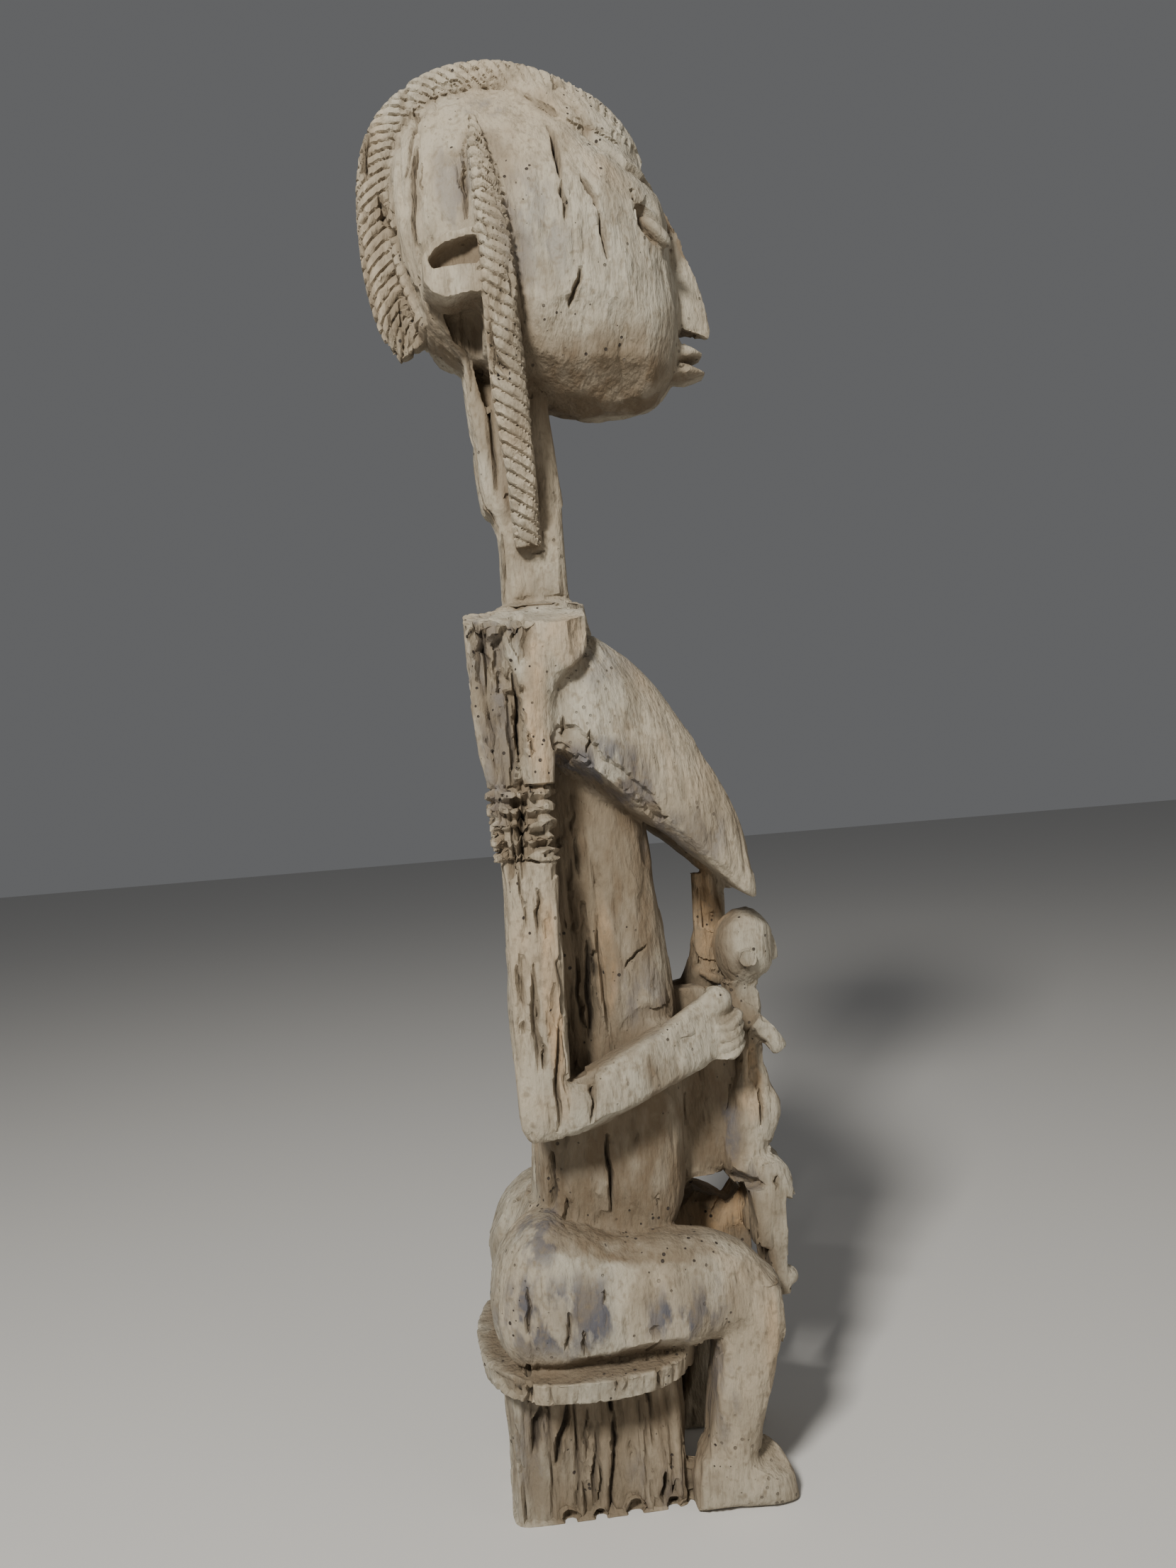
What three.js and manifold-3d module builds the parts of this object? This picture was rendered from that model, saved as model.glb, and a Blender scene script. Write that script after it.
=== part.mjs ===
// A seated mother with a child on her lap, carved with her stool from one block of wood.
// Millimetres, +Z up, the figure faces +X and her right side is -Y.
// The carving is worked out from a point on the seat's top, under the figure's trunk,
// where x = y = z = 0.

import * as THREE from 'three';
import Module from 'manifold-3d';

const wasm = await Module();
wasm.setup();

// Stool
const seatHeight = 110;
const seatDepth = 156;
const seatWidth = 182;
const seatThickness = 17;
const seatChamfer = 4;
const seatRimTaper = 6;
const seatBow = 2.5;
const seatForward = 2;
const postDepth = 122;
const postWidth = 110;
const postCorner = 8;
const postForward = 2;
const postOverlap = 2;
const postFootTaper = 1;
const postCracks = 16;
const crackWidth = 5;
const crackDepth = 6;

// Figure, from the seat's top to the top of the crest.
// Its free forms are drawn in units, and this count of them makes that height.
const figureHeight = 888;
const unitCount = 888;
const unit = figureHeight / unitCount;

// Carved patterns
const notchDepth = 2.2;
const crestNotches = 32;
const braidNotches = 24;
const armletBands = 5;

const weatheredWood = new THREE.MeshStandardMaterial({ color: 0xa6957d, roughness: 0.92, metalness: 0 });

const point = (x, y, z) => new THREE.Vector3(x, y, z);
const real = (value) => value * unit;

// Closed skins over rings of points

function middle(ring) {
  const sum = ring.reduce((total, p) => total.add(p), point(0, 0, 0));
  return sum.divideScalar(ring.length);
}

function volume(points, faces) {
  return faces.reduce((sum, [a, b, c]) => {
    const cross = points[b].clone().cross(points[c]);
    return sum + points[a].dot(cross) / 6;
  }, 0);
}

// Turns points and triangles into a solid with its faces pointing out.
function solid(points, faces) {
  const outward = volume(points, faces) > 0 ? faces : faces.map(([a, b, c]) => [a, c, b]);
  const vertProperties = new Float32Array(points.flatMap((p) => [p.x, p.y, p.z]));
  const triVerts = new Uint32Array(outward.flat());
  return new wasm.Manifold(new wasm.Mesh({ numProp: 3, vertProperties, triVerts }));
}

// Joins rings of the same number of points into a closed body, with a fan over each end.
function skin(rings) {
  const sides = rings[0].length;
  const last = rings.length - 1;
  const points = [...rings.flat(), middle(rings[0]), middle(rings[last])];
  const startTip = rings.length * sides;
  const endTip = startTip + 1;
  const faces = [];
  for (let i = 0; i < sides; i++) {
    const j = (i + 1) % sides;
    faces.push([startTip, j, i]);
    faces.push([endTip, last * sides + i, last * sides + j]);
    for (let r = 0; r < last; r++) {
      const a = r * sides + i;
      const b = r * sides + j;
      faces.push([a, b, b + sides], [a, b + sides, a + sides]);
    }
  }
  return solid(points, faces);
}

// One section of a form. A bow of 2 is an ellipse, more is squarer, less is pointed.
function hoop(sides, bow, place) {
  return Array.from({ length: sides }, (_, i) => {
    const angle = ((i + 0.5) / sides) * 2 * Math.PI;
    const square = (v) => Math.sign(v) * Math.abs(v) ** (2 / bow);
    return place(square(Math.cos(angle)), square(Math.sin(angle)));
  });
}

// An upright form. Rows: height, back, front, half width, middle across.
function upright(rows, { sides = 16, bow = 2.3 } = {}) {
  return skin(rows.map(([z, back, front, half, y = 0]) => hoop(sides, bow, (c, s) => point(
    real((back + front) / 2 + ((front - back) / 2) * c),
    real(y + half * s),
    real(z),
  ))));
}

// A form that runs forwards. Rows: x, bottom, top, inner side, outer side.
// The fullest width lies at the share belly of its height.
function forward(rows, { sides = 14, bow = 2.3, belly = 0.5 } = {}) {
  return skin(rows.map(([x, bottom, top, inner, outer]) => hoop(sides, bow, (c, s) => {
    const full = bottom + (top - bottom) * belly;
    const reach = s > 0 ? top - full : full - bottom;
    return point(real(x), real((inner + outer) / 2 + ((outer - inner) / 2) * c), real(full + reach * s));
  })));
}

// A form along a bent path. Rows: x, y, z, half depth, half width.
function limb(rows, { sides = 8, bow = 2.3 } = {}) {
  const spots = rows.map(([x, y, z]) => point(x, y, z));
  return skin(rows.map(([, , , deep, wide], i) => {
    const next = spots[Math.min(i + 1, spots.length - 1)];
    const before = spots[Math.max(i - 1, 0)];
    const along = next.clone().sub(before).normalize();
    const normal = point(0, 1, 0).cross(along).normalize();
    const across = along.clone().cross(normal);
    return hoop(sides, bow, (c, s) => spots[i].clone()
      .addScaledVector(normal, deep * c)
      .addScaledVector(across, wide * s)
      .multiplyScalar(unit));
  }));
}

// The same form on the figure's other side.
const mirrored = (form) => form.mirror([0, 1, 0]);

// A round boss or hollow at a place, with its three half sizes.
function egg([x, y, z], [a, b, c]) {
  const levels = [-0.97, -0.6, 0.1, 0.7, 0.98];
  const sides = 6;
  return skin(levels.map((h) => hoop(sides, 2, (cos, sin) => {
    const r = Math.sqrt(1 - h * h);
    return point(real(x + a * r * cos), real(y + b * r * sin), real(z + c * h));
  })));
}

// A plate from one side to the other. Its outline of x and height is drawn anticlockwise.
function slab(outline, near, far) {
  const ring = (y) => outline.map(([x, z]) => point(real(x), real(y), real(z)));
  const caps = THREE.ShapeUtils.triangulateShape(outline.map(([x, z]) => new THREE.Vector2(x, z)), []);
  const count = outline.length;
  const walls = outline.flatMap((_, i) => {
    const j = (i + 1) % count;
    return [[i, j, j + count], [i, j + count, i + count]];
  });
  const start = caps.map(([a, b, c]) => [a, c, b]);
  const end = caps.map((face) => face.map((corner) => corner + count));
  return solid([...ring(near), ...ring(far)], [...start, ...end, ...walls]);
}

// Head

const headRows = [
  // height, back, front, half width
  [636, 44, 86, 14],
  [643, 22, 106, 30],
  [655, -4, 116, 43],
  [676, -40, 122, 54],
  [704, -66, 124, 62],
  [740, -77, 121, 67],
  [776, -79, 119, 64],
  [806, -76, 104, 53],
  [834, -66, 76, 37],
  [856, -46, 46, 22],
  [866, -20, 20, 8],
];

// The nose is a long wedge with a narrow ridge.
function nose() {
  const ridgeShare = 0.25;
  const rows = [
    // height, ridge, root, half width
    [782, 121, 106, 3],
    [757, 131, 108, 6],
    [720, 142, 110, 9],
    [688, 147, 112, 13],
    [696, 128, 112, 9],
  ];
  return skin(rows.map(([z, ridge, root, half]) => [
    [ridge, -half * ridgeShare],
    [ridge, half * ridgeShare],
    [root, half],
    [root, -half],
  ].map(([x, y]) => point(real(x), real(y), real(z)))));
}

// A lip is a wedge across the face, whose tip lies at a height of its own.
function lip(tip, tipHeight, over, under) {
  const half = 17;
  const root = 108;
  const corner = 120;
  const edge = 1.5;
  const spans = [-1, -0.6, 0, 0.6, 1];
  return skin(spans.map((span) => {
    const reach = tip - (tip - corner) * span ** 2;
    return [[reach, tipHeight + edge], [reach, tipHeight - edge], [root, under], [root, over]]
      .map(([x, z]) => point(real(x), real(half * span), real(z)));
  }));
}

function ear() {
  const rows = [
    // x, y, z, half depth, half width
    [-16, -63, 738, 3, 8],
    [-40, -62, 735, 4, 10],
    [-52, -57, 722, 5, 9],
    [-48, -60, 707, 7, 10],
    [-16, -64, 705, 8, 9],
  ];
  return limb(rows, { sides: 6 });
}

// A plait is a run of slanting strands, each cut back by the notch behind it.
// route gives its middle, directions and half sizes at a share of the length, and peak is the
// share of the width that the outer face keeps.
function plait(route, notches, peak, lean) {
  const rings = [];
  for (let i = 0; i <= notches * 2; i++) {
    const { centre, out, along, deep, wide } = route(i / (notches * 2));
    const across = along.clone().cross(out).normalize();
    const depth = i % 2 ? 0 : notchDepth / unit;
    const corners = [[-1, -1], [-1, 1], [1, 1], [1, -1]];
    rings.push(corners.map(([side, height]) => centre.clone()
      .addScaledVector(across, side * wide * (height > 0 ? peak : 1))
      .addScaledVector(out, height > 0 ? deep - depth : -deep)
      .addScaledVector(along, height > 0 ? lean(side) : 0)
      .multiplyScalar(unit)));
  }
  return skin(rings);
}

// The crest runs over the head from the brow to the nape.
function crest() {
  const deep = 13;
  const peak = 0.6;
  const slant = -3;
  // Points: x, half width and height of the outer edge
  const outline = new THREE.CatmullRomCurve3([
    point(110, 16, 797), point(101, 22, 824), point(86, 26, 844), point(69, 27, 858), point(40, 24, 877),
    point(3, 20, 888), point(-43, 17, 880), point(-79, 16, 852), point(-96, 15, 812), point(-98, 14, 755),
    point(-90, 12, 706), point(-75, 7, 680),
  ]);
  return plait((t) => {
    const edge = outline.getPointAt(t);
    const wide = edge.y;
    edge.setY(0);
    const along = outline.getTangentAt(t).setY(0).normalize();
    const out = point(0, 1, 0).cross(along).normalize();
    return { centre: edge.addScaledVector(out, -deep), out, along, deep, wide };
  }, crestNotches, peak, (side) => slant * Math.abs(side));
}

// A side plait starts thin above the ear and hangs free past the jaw to the neck.
function braid() {
  const deep = 8;
  const startWidth = 4;
  const swell = 7;
  const swellShare = 0.2;
  const peak = 0.85;
  const slant = 3;
  const middleLine = new THREE.CatmullRomCurve3([
    point(-14, -50, 820), point(-12, -58, 795), point(-7, -66, 752), point(-5, -70, 715), point(-5, -68, 675),
    point(-3, -58, 635), point(0, -44, 595), point(2, -30, 560), point(3, -27, 538),
  ]);
  return plait((t) => {
    const along = middleLine.getTangentAt(t);
    const out = point(0, -1, 0).addScaledVector(along, along.y).normalize();
    const wide = startWidth + swell * Math.min(1, t / swellShare);
    return { centre: middleLine.getPointAt(t), out, along, deep, wide };
  }, braidNotches, peak, (side) => slant * side);
}

function head() {
  const socket = egg([112, -38, 746], [14, 12, 7]);
  const eye = egg([104, -36, 742], [9, 9, 6]);
  const skull = upright(headRows, { sides: 16, bow: 2.25 }).subtract(socket).subtract(mirrored(socket));
  const paired = [ear(), braid(), eye];
  const single = [nose(), lip(137, 675, 684, 669), lip(138, 662, 668, 656), crest()];
  return [...paired, ...paired.map(mirrored), ...single].reduce((all, piece) => all.add(piece), skull);
}

// Trunk

function neck() {
  return upright([
    // height, back, front, half width
    [480, -20, 30, 24],
    [545, -18, 30, 23],
    [566, -20, 30, 23],
    [575, -28, 30, 25],
    [612, -32, 28, 25],
    [650, -34, 25, 26],
    [700, -36, 24, 27],
  ], { sides: 10 });
}

// The yoke runs across the shoulders.
function shoulders() {
  const bevel = 8;
  const rows = [
    // y, bottom, top, back, front
    [-91, 462, 481, -46, 14],
    [-74, 446, 486, -46, 24],
    [-54, 440, 493, -44, 32],
    [-24, 430, 505, -26, 39],
    [0, 430, 508, -24, 40],
  ];
  const left = rows.slice(0, -1).reverse().map(([y, ...rest]) => [-y, ...rest]);
  return skin([...rows, ...left].map(([y, bottom, top, back, front]) => [
    [back, top], [front - bevel, top], [front, top - bevel], [front, bottom], [back, bottom],
  ].map(([x, z]) => point(real(x), real(y), real(z)))));
}

function torso() {
  return upright([
    // height, back, front, half width
    [20, -30, 58, 42],
    [60, -30, 63, 45],
    [83, -30, 77, 46],
    [130, -27, 81, 48],
    [216, -26, 82, 48],
    [290, -24, 75, 47],
    [345, -24, 70, 47],
    [420, -24, 58, 50],
    [500, -24, 38, 50],
  ], { sides: 14, bow: 3.4 });
}

// The belly is a narrower web that runs out to the child's back.
function belly() {
  return upright([
    // height, back, front, half width
    [80, 30, 76, 10],
    [96, 30, 92, 12],
    [101, 30, 118, 13],
    [205, 30, 128, 13],
    [228, 30, 100, 10],
  ], { sides: 8, bow: 3 });
}

function breast() {
  const rows = [
    // x, bottom, top, inner side, outer side
    [-2, 412, 448, -52, -74],
    [6, 394, 460, -34, -79],
    [22, 374, 471, -12, -80],
    [40, 364, 475, -4, -78],
    [70, 344, 451, -6, -70],
    [96, 322, 416, -12, -62],
    [118, 302, 375, -21, -53],
    [132, 291, 340, -28, -46],
    [139, 290, 304, -33, -40],
  ];
  return forward(rows, { sides: 12, bow: 2.2, belly: 0.27 });
}

// Arms

function upperArm() {
  const across = -72;
  const armletTop = 378;
  const armletBottom = 328;
  const pitch = (armletTop - armletBottom) / armletBands;
  const bandDrop = pitch * 0.6;
  // Bands stand proud round the middle of the arm.
  const armlet = Array.from({ length: armletBands }, (_, i) => {
    const z = armletTop - pitch * i;
    return [[z, -37, 5, 17, across], [z - bandDrop, -41, 8, 20, across]];
  }).flat();
  return upright([
    // height, back, front, half width, middle across
    [484, -46, 33, 19, across],
    [470, -47, 34, 20, across],
    [457, -46, 30, 19, across],
    [440, -46, 14, 19, across],
    [407, -43, 8, 18, across],
    ...armlet,
    [armletBottom, -33, 2, 17, across],
    [208, -36, 1, 17, across],
    [160, -34, -2, 16, across],
    [149, -27, -10, 9, across],
  ], { sides: 10, bow: 3.2 });
}

function forearm() {
  return limb([
    // x, y, z, half depth, half width
    [-18, -73, 168, 15, 15],
    [8, -73, 171, 19, 17],
    [40, -66, 186, 19, 16],
    [76, -52, 194, 21, 14],
    [98, -41, 203, 23, 11],
    [110, -36, 206, 17, 9],
  ], { sides: 10, bow: 2.8 });
}

// The right hand lies against the child's back, four fingers one over the other.
function claspingHand() {
  const pitch = 9.5;
  const highest = 227;
  const palm = upright([
    // height, back, front, half width, middle across
    [184, 92, 110, 5, -40],
    [192, 88, 116, 8, -41],
    [222, 88, 115, 8, -41],
    [231, 92, 108, 5, -40],
  ], { sides: 8, bow: 3 });
  const fingers = [0, 1, 2, 3].map((i) => limb([
    [95, -47, highest - i * pitch - 2, 4, 5],
    [105, -49, highest - i * pitch - 2, 5, 5],
    [114, -46, highest - i * pitch - 8, 5, 5],
    [114, -43, highest - i * pitch - 17, 3.5, 4],
  ], { sides: 5 }));
  return fingers.reduce((all, finger) => all.add(finger), palm);
}

// The left hand stands upright and holds the breast from below.
function raisedHand() {
  const pitch = 9;
  const palm = limb([
    [98, 38, 205, 14, 10],
    [112, 36, 232, 14, 11],
    [118, 34, 262, 13, 9],
  ]);
  const fingers = [109, 109 + pitch, 109 + pitch * 2].map((x) => limb([
    [x, 34, 250, 5, 6],
    [x, 33, 276, 4, 5],
    [x + 1, 34, 304, 4, 5],
  ], { sides: 5 }));
  const thumb = limb([[124, 26, 224, 5, 5], [116, 24, 227, 4, 4], [106, 24, 232, 2, 2]], { sides: 6 });
  return [...fingers, thumb].reduce((all, piece) => all.add(piece), palm);
}

// Hips and legs

function thigh() {
  const rows = [
    // x, bottom, top, inner side, outer side
    [-63, 26, 50, -24, -54],
    [-57, 8, 66, -6, -68],
    [-44, -3, 84, -2, -80],
    [-24, -4, 94, -2, -86],
    [-4, -4, 86, -4, -88],
    [28, -4, 77, -8, -88],
    [66, -1, 74, -16, -84],
    [88, 2, 70, -20, -78],
    [108, -10, 60, -22, -75],
    [121, -12, 49, -24, -73],
    [130, -6, 38, -30, -68],
  ];
  return forward(rows, { sides: 12, bow: 2.4, belly: 0.42 });
}

// The far thigh has lost its outer wood to rot above the lap, and a torn plate is left of it.
function farThigh() {
  const biteInner = 14;
  const biteOuter = 94;
  const tornInner = 24;
  const tornOuter = 54;
  const bite = slab([[80, 110], [80, 76], [92, 58], [128, 50], [140, 50], [140, 110]], biteInner, biteOuter);
  const torn = slab([
    [129, 20], [129, 60], [122, 72], [114, 60], [111, 64], [101, 69], [89, 74], [79, 62], [70, 50], [70, 20],
  ], tornInner, tornOuter);
  return mirrored(thigh()).subtract(bite).add(torn);
}

function pelvis() {
  return upright([
    // height, back, front, half width
    [-4, -50, 58, 50],
    [60, -48, 60, 50],
    [92, -34, 64, 44],
  ], { sides: 10, bow: 3 });
}

// The shin runs from the knee into the foot, whatever the height of the seat.
function shin() {
  const knee = 40;
  const ankleHeight = 12;
  const ankle = ankleHeight - seatHeight / unit;
  const rows = [
    // share of the way down, back, front, half width, middle across
    [0, 92, 130, 24, -49],
    [0.22, 84, 130, 25, -49],
    [0.5, 79, 121, 22, -50],
    [0.72, 74, 112, 19, -50],
    [1, 68, 106, 15, -50],
  ];
  const stations = rows.map(([down, ...rest]) => [knee + (ankle - knee) * down, ...rest]);
  return upright(stations, { sides: 12, bow: 3.6 });
}

function foot() {
  const ground = -seatHeight / unit;
  const rows = [
    // x, top above the ground, inner side, outer side
    [62, 22, -36, -64],
    [72, 44, -33, -67],
    [98, 50, -32, -68],
    [114, 38, -31, -69],
    [127, 24, -33, -65],
    [133, 9, -40, -58],
  ];
  const stations = rows.map(([x, top, inner, outer]) => [x, ground, ground + top, inner, outer]);
  return forward(stations, { sides: 10, bow: 2.6, belly: 0.25 });
}

// Child

function childBody() {
  return upright([
    // height, back, front, half width
    [88, 110, 128, 14],
    [104, 105, 142, 19],
    [120, 107, 147, 21],
    [138, 112, 153, 21],
    [158, 118, 147, 19],
    [178, 122, 143, 19],
    [192, 121, 147, 22],
    [204, 120, 145, 14],
    [218, 117, 144, 12],
    [228, 117, 144, 14],
  ], { sides: 10 });
}

function childHead() {
  const skull = upright([
    // height, back, front, half width
    [226, 122, 142, 10],
    [234, 117, 152, 18],
    [246, 114, 157, 22],
    [258, 114, 157, 23],
    [270, 119, 152, 20],
    [279, 131, 143, 8],
  ], { sides: 12 });
  const root = 148;
  const ridge = skin([[266, 153, 3], [250, 160, 4], [241, 160, 5], [239, 150, 4]].map(([z, tip, half]) => [
    [tip, -half], [tip, half], [root, half], [root, -half],
  ].map(([x, y]) => point(real(x), real(y), real(z)))));
  const disc = egg([131, -21, 242], [7, 5, 7]);
  return skull.add(ridge).add(disc).add(mirrored(disc));
}

function childArm() {
  return limb([[134, -20, 201, 8, 6], [144, -21, 191, 7, 6], [154, -17, 177, 4, 5]], { sides: 6 });
}

function childLeg() {
  const upper = limb([
    [110, -13, 95, 14, 11],
    [128, -14, 96, 15, 11],
    [141, -14, 88, 14, 11],
    [150, -14, 74, 6, 9],
  ], { sides: 7 });
  const lower = upright([
    [10, 133, 146, 9, -15],
    [42, 131, 146, 9, -15],
    [47, 122, 147, 11, -15],
    [73, 122, 148, 11, -15],
    [86, 118, 148, 11, -15],
  ], { sides: 8, bow: 3 });
  const toes = egg([146, -15, 19], [9, 9, 7]);
  return upper.add(lower).add(toes);
}

// Stool

function seat() {
  const rows = [
    // height, size kept inside the rim
    [-seatThickness, seatRimTaper],
    [-seatChamfer, 0],
    [0, seatChamfer],
  ];
  return skin(rows.map(([z, inset]) => hoop(28, seatBow, (c, s) => point(
    seatForward + (seatDepth / 2 - inset) * c,
    (seatWidth / 2 - inset) * s,
    z,
  ))));
}

// The post is a rounded square with its grain opened into deep upright cracks.
function post() {
  const straight = (size) => size - 2 * postCorner;
  const corner = (Math.PI / 2) * postCorner;
  const runs = [straight(postDepth), straight(postWidth), straight(postDepth), straight(postWidth)];
  const round = runs.reduce((sum, run) => sum + run + corner, 0);

  // The place and outward direction at a distance along the outline
  const trace = (distance) => {
    let rest = ((distance % round) + round) % round;
    for (let side = 0; side < 4; side++) {
      const turn = (side * Math.PI) / 2;
      const dir = point(Math.cos(turn), Math.sin(turn), 0);
      const out = point(Math.sin(turn), -Math.cos(turn), 0);
      const half = side % 2 ? postDepth / 2 : postWidth / 2;
      const run = runs[side];
      if (rest <= run) {
        return { at: out.clone().multiplyScalar(half).addScaledVector(dir, rest - run / 2), out };
      }
      rest -= run;
      if (rest <= corner) {
        const swing = rest / postCorner;
        const hub = out.clone().multiplyScalar(half - postCorner).addScaledVector(dir, run / 2);
        const normal = out.clone().multiplyScalar(Math.cos(swing)).addScaledVector(dir, Math.sin(swing));
        return { at: hub.addScaledVector(normal, postCorner), out: normal };
      }
      rest -= corner;
    }
    return trace(0);
  };

  const tall = seatHeight - seatThickness + postOverlap;
  const levels = [[0, postFootTaper], [0.08, 0], [1, 0]];
  return skin(levels.map(([rise, inset]) => {
    const ring = [];
    for (let i = 0; i < postCracks; i++) {
      // Cracks wander from an even spacing, and from an even depth.
      const spot = ((i + 0.28 * Math.sin(i * 2.4)) / postCracks) * round;
      const deep = crackDepth * (0.55 + 0.45 * Math.sin(i * 1.7 + rise * 2.5));
      [[-crackWidth / 2, 0], [0, deep], [crackWidth / 2, 0]].forEach(([shift, sink]) => {
        const { at, out } = trace(spot + shift);
        const onAxis = point(postForward, 0, rise * tall - seatHeight);
        ring.push(onAxis.add(at).addScaledVector(out, -sink - inset));
      });
    }
    return ring;
  }));
}

// The whole carving

function carving() {
  const paired = [breast(), upperArm(), forearm(), shin(), foot(), childArm(), childLeg()];
  const trunk = [head(), neck(), shoulders(), torso(), belly(), pelvis(), claspingHand(), raisedHand()];
  const single = [...trunk, thigh(), farThigh(), childBody(), childHead(), seat(), post()];
  return [...single, ...paired, ...paired.map(mirrored)].reduce((whole, piece) => whole.add(piece));
}

function toGeometry(body) {
  const { vertProperties, triVerts } = body.getMesh();
  const geometry = new THREE.BufferGeometry();
  geometry.setAttribute('position', new THREE.BufferAttribute(new Float32Array(vertProperties), 3));
  geometry.setIndex(new THREE.BufferAttribute(new Uint32Array(triVerts), 1));
  return geometry;
}

// Moves the carving so that the origin is under the middle of its box, on the ground.
function grounded(geometry) {
  geometry.computeBoundingBox();
  const { min, max } = geometry.boundingBox;
  geometry.translate(-(min.x + max.x) / 2, -(min.y + max.y) / 2, -min.z);
  return geometry;
}

const figure = new THREE.Mesh(grounded(toGeometry(carving())), weatheredWood);
figure.name = 'maternity_figure';

const model = new THREE.Group();
model.add(figure);

export default model;
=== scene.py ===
import math

import bpy
import numpy as np
from mathutils import Matrix, Vector
from mathutils.bvhtree import BVHTree


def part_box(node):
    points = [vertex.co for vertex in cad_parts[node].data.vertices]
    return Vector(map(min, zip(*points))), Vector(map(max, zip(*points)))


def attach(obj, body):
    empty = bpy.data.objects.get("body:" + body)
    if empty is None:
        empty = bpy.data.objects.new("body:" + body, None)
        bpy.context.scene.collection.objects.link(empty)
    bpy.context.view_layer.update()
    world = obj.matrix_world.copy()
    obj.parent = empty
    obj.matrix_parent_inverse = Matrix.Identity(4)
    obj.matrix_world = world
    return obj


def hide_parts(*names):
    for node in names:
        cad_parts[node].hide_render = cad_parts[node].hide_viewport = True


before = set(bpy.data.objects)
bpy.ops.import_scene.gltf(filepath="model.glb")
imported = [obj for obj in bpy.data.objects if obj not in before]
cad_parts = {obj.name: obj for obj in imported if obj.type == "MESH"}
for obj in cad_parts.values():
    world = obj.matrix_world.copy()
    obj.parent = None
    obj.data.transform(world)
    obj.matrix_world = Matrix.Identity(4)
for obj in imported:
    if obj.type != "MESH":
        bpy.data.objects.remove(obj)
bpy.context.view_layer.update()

# Scale and place: tables below are millimetres from the seat's top, under the figure's trunk
NODE = "maternity_figure"
TALL = 998.0
BACK = 98.9
SEAT_HEIGHT = 110.0
low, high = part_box(NODE)
MM = (high.z - low.z) / TALL
SEAT = Vector((low.x + BACK * MM, (low.y + high.y) / 2, low.z + SEAT_HEIGHT * MM))

# Surface
SKIN_STEP = 1.2
FINEST_FACES = 196000
PLAIT_NOTCH = 3.0
SEED = 11
LATTICE = 40
chance = np.random.default_rng(SEED)
SLOPES = chance.normal(size=(LATTICE, LATTICE, LATTICE, 3)).astype(np.float32)
SLOPES /= np.linalg.norm(SLOPES, axis=3, keepdims=True)


def spot(x, y, z):
    """A place in millimetres, in the frame's metres."""
    return SEAT + Vector((x, y, z)) * MM


# Growing forms ring by ring. A table's rows are what upright, forward or limb asks for.

EGG_SIDES = 20
PARED_BLOCK = 200


def fair(rows, steps):
    """Adds smooth steps between the rows of a table of stations."""
    table = np.array(rows, float)
    ends = np.vstack([table[:1], table, table[-1:]])
    out = []
    for before, start, end, after in zip(ends, ends[1:], ends[2:], ends[3:]):
        rise = (end - before) / 2
        fall = (after - start) / 2
        for step in range(steps):
            t = step / steps
            square = (3 * (end - start) - 2 * rise - fall) * t**2
            cube = (2 * (start - end) + rise + fall) * t**3
            out.append(start + rise * t + (square + cube))
    return out + [table[-1]]


def squared(value, bow):
    return math.copysign(abs(value) ** (2 / bow), value)


def shape_section(form, bow, belly):
    """Makes a round section squarer or more pointed, and widest at the share belly of its depth."""
    middle = 1 - 2 * belly
    for vertex in form.data.vertices:
        deep = squared(vertex.co.x, bow)
        reach = 1 - middle if deep > 0 else 1 + middle
        vertex.co.x = middle + reach * deep
        vertex.co.y = squared(vertex.co.y, bow)


def swing(angle, centre):
    """Turns what is selected about an axis along Y, so that a positive angle leans it forwards."""
    if abs(angle) > 1e-6:
        bpy.ops.transform.rotate(value=-angle, orient_axis="Y", center_override=centre)


def start_form(name, corners):
    """A flat form with so many corners, to be shaped and drawn out."""
    bpy.ops.object.select_all(action="DESELECT")
    bpy.ops.mesh.primitive_circle_add(
        vertices=corners, radius=1, fill_type="NGON", location=(0, 0, 0))
    form = bpy.context.object
    form.name = name
    return form


def start_edit():
    bpy.ops.object.mode_set(mode="EDIT")
    bpy.ops.mesh.select_all(action="SELECT")


def end_edit():
    """Turns every face outwards and leaves edit mode."""
    bpy.ops.mesh.select_all(action="SELECT")
    bpy.ops.mesh.normals_make_consistent(inside=False)
    bpy.ops.object.mode_set(mode="OBJECT")


def grow(name, stations, sides=24, bow=2.3, belly=0.5):
    """Grows a closed form from x, y, z, half depth, half width and lean in radians at each ring."""
    form = start_form(name, sides)
    shape_section(form, bow, belly)
    start_edit()
    here, size, lean = Vector((0, 0, 0)), (1, 1), 0
    for ring, (x, y, z, deep, wide, turn) in enumerate(stations):
        if ring:
            bpy.ops.mesh.extrude_region_move()
        swing(-lean, here)
        growth = (deep * MM / size[0], wide * MM / size[1], 1)
        bpy.ops.transform.resize(value=growth, center_override=here)
        swing(turn, here)
        there = spot(x, y, z)
        bpy.ops.transform.translate(value=there - here)
        here, size, lean = there, (deep * MM, wide * MM), turn
    end_edit()
    return form


def upright(name, rows, steps=3, **section):
    """Rows: height, back, front, half width, middle across."""
    full = fair([[*row, 0][:5] for row in rows], steps)
    stations = [((b + f) / 2, y, z, (f - b) / 2, half, 0) for z, b, f, half, y in full]
    return grow(name, stations, **section)


def forward(name, rows, steps=3, **section):
    """Rows: x, bottom, top, inner side, outer side."""
    quarter = math.pi / 2
    return grow(name, [(x, (i + o) / 2, (b + t) / 2, (t - b) / 2, abs(o - i) / 2, quarter)
                       for x, b, t, i, o in fair(rows, steps)], **section)


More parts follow.
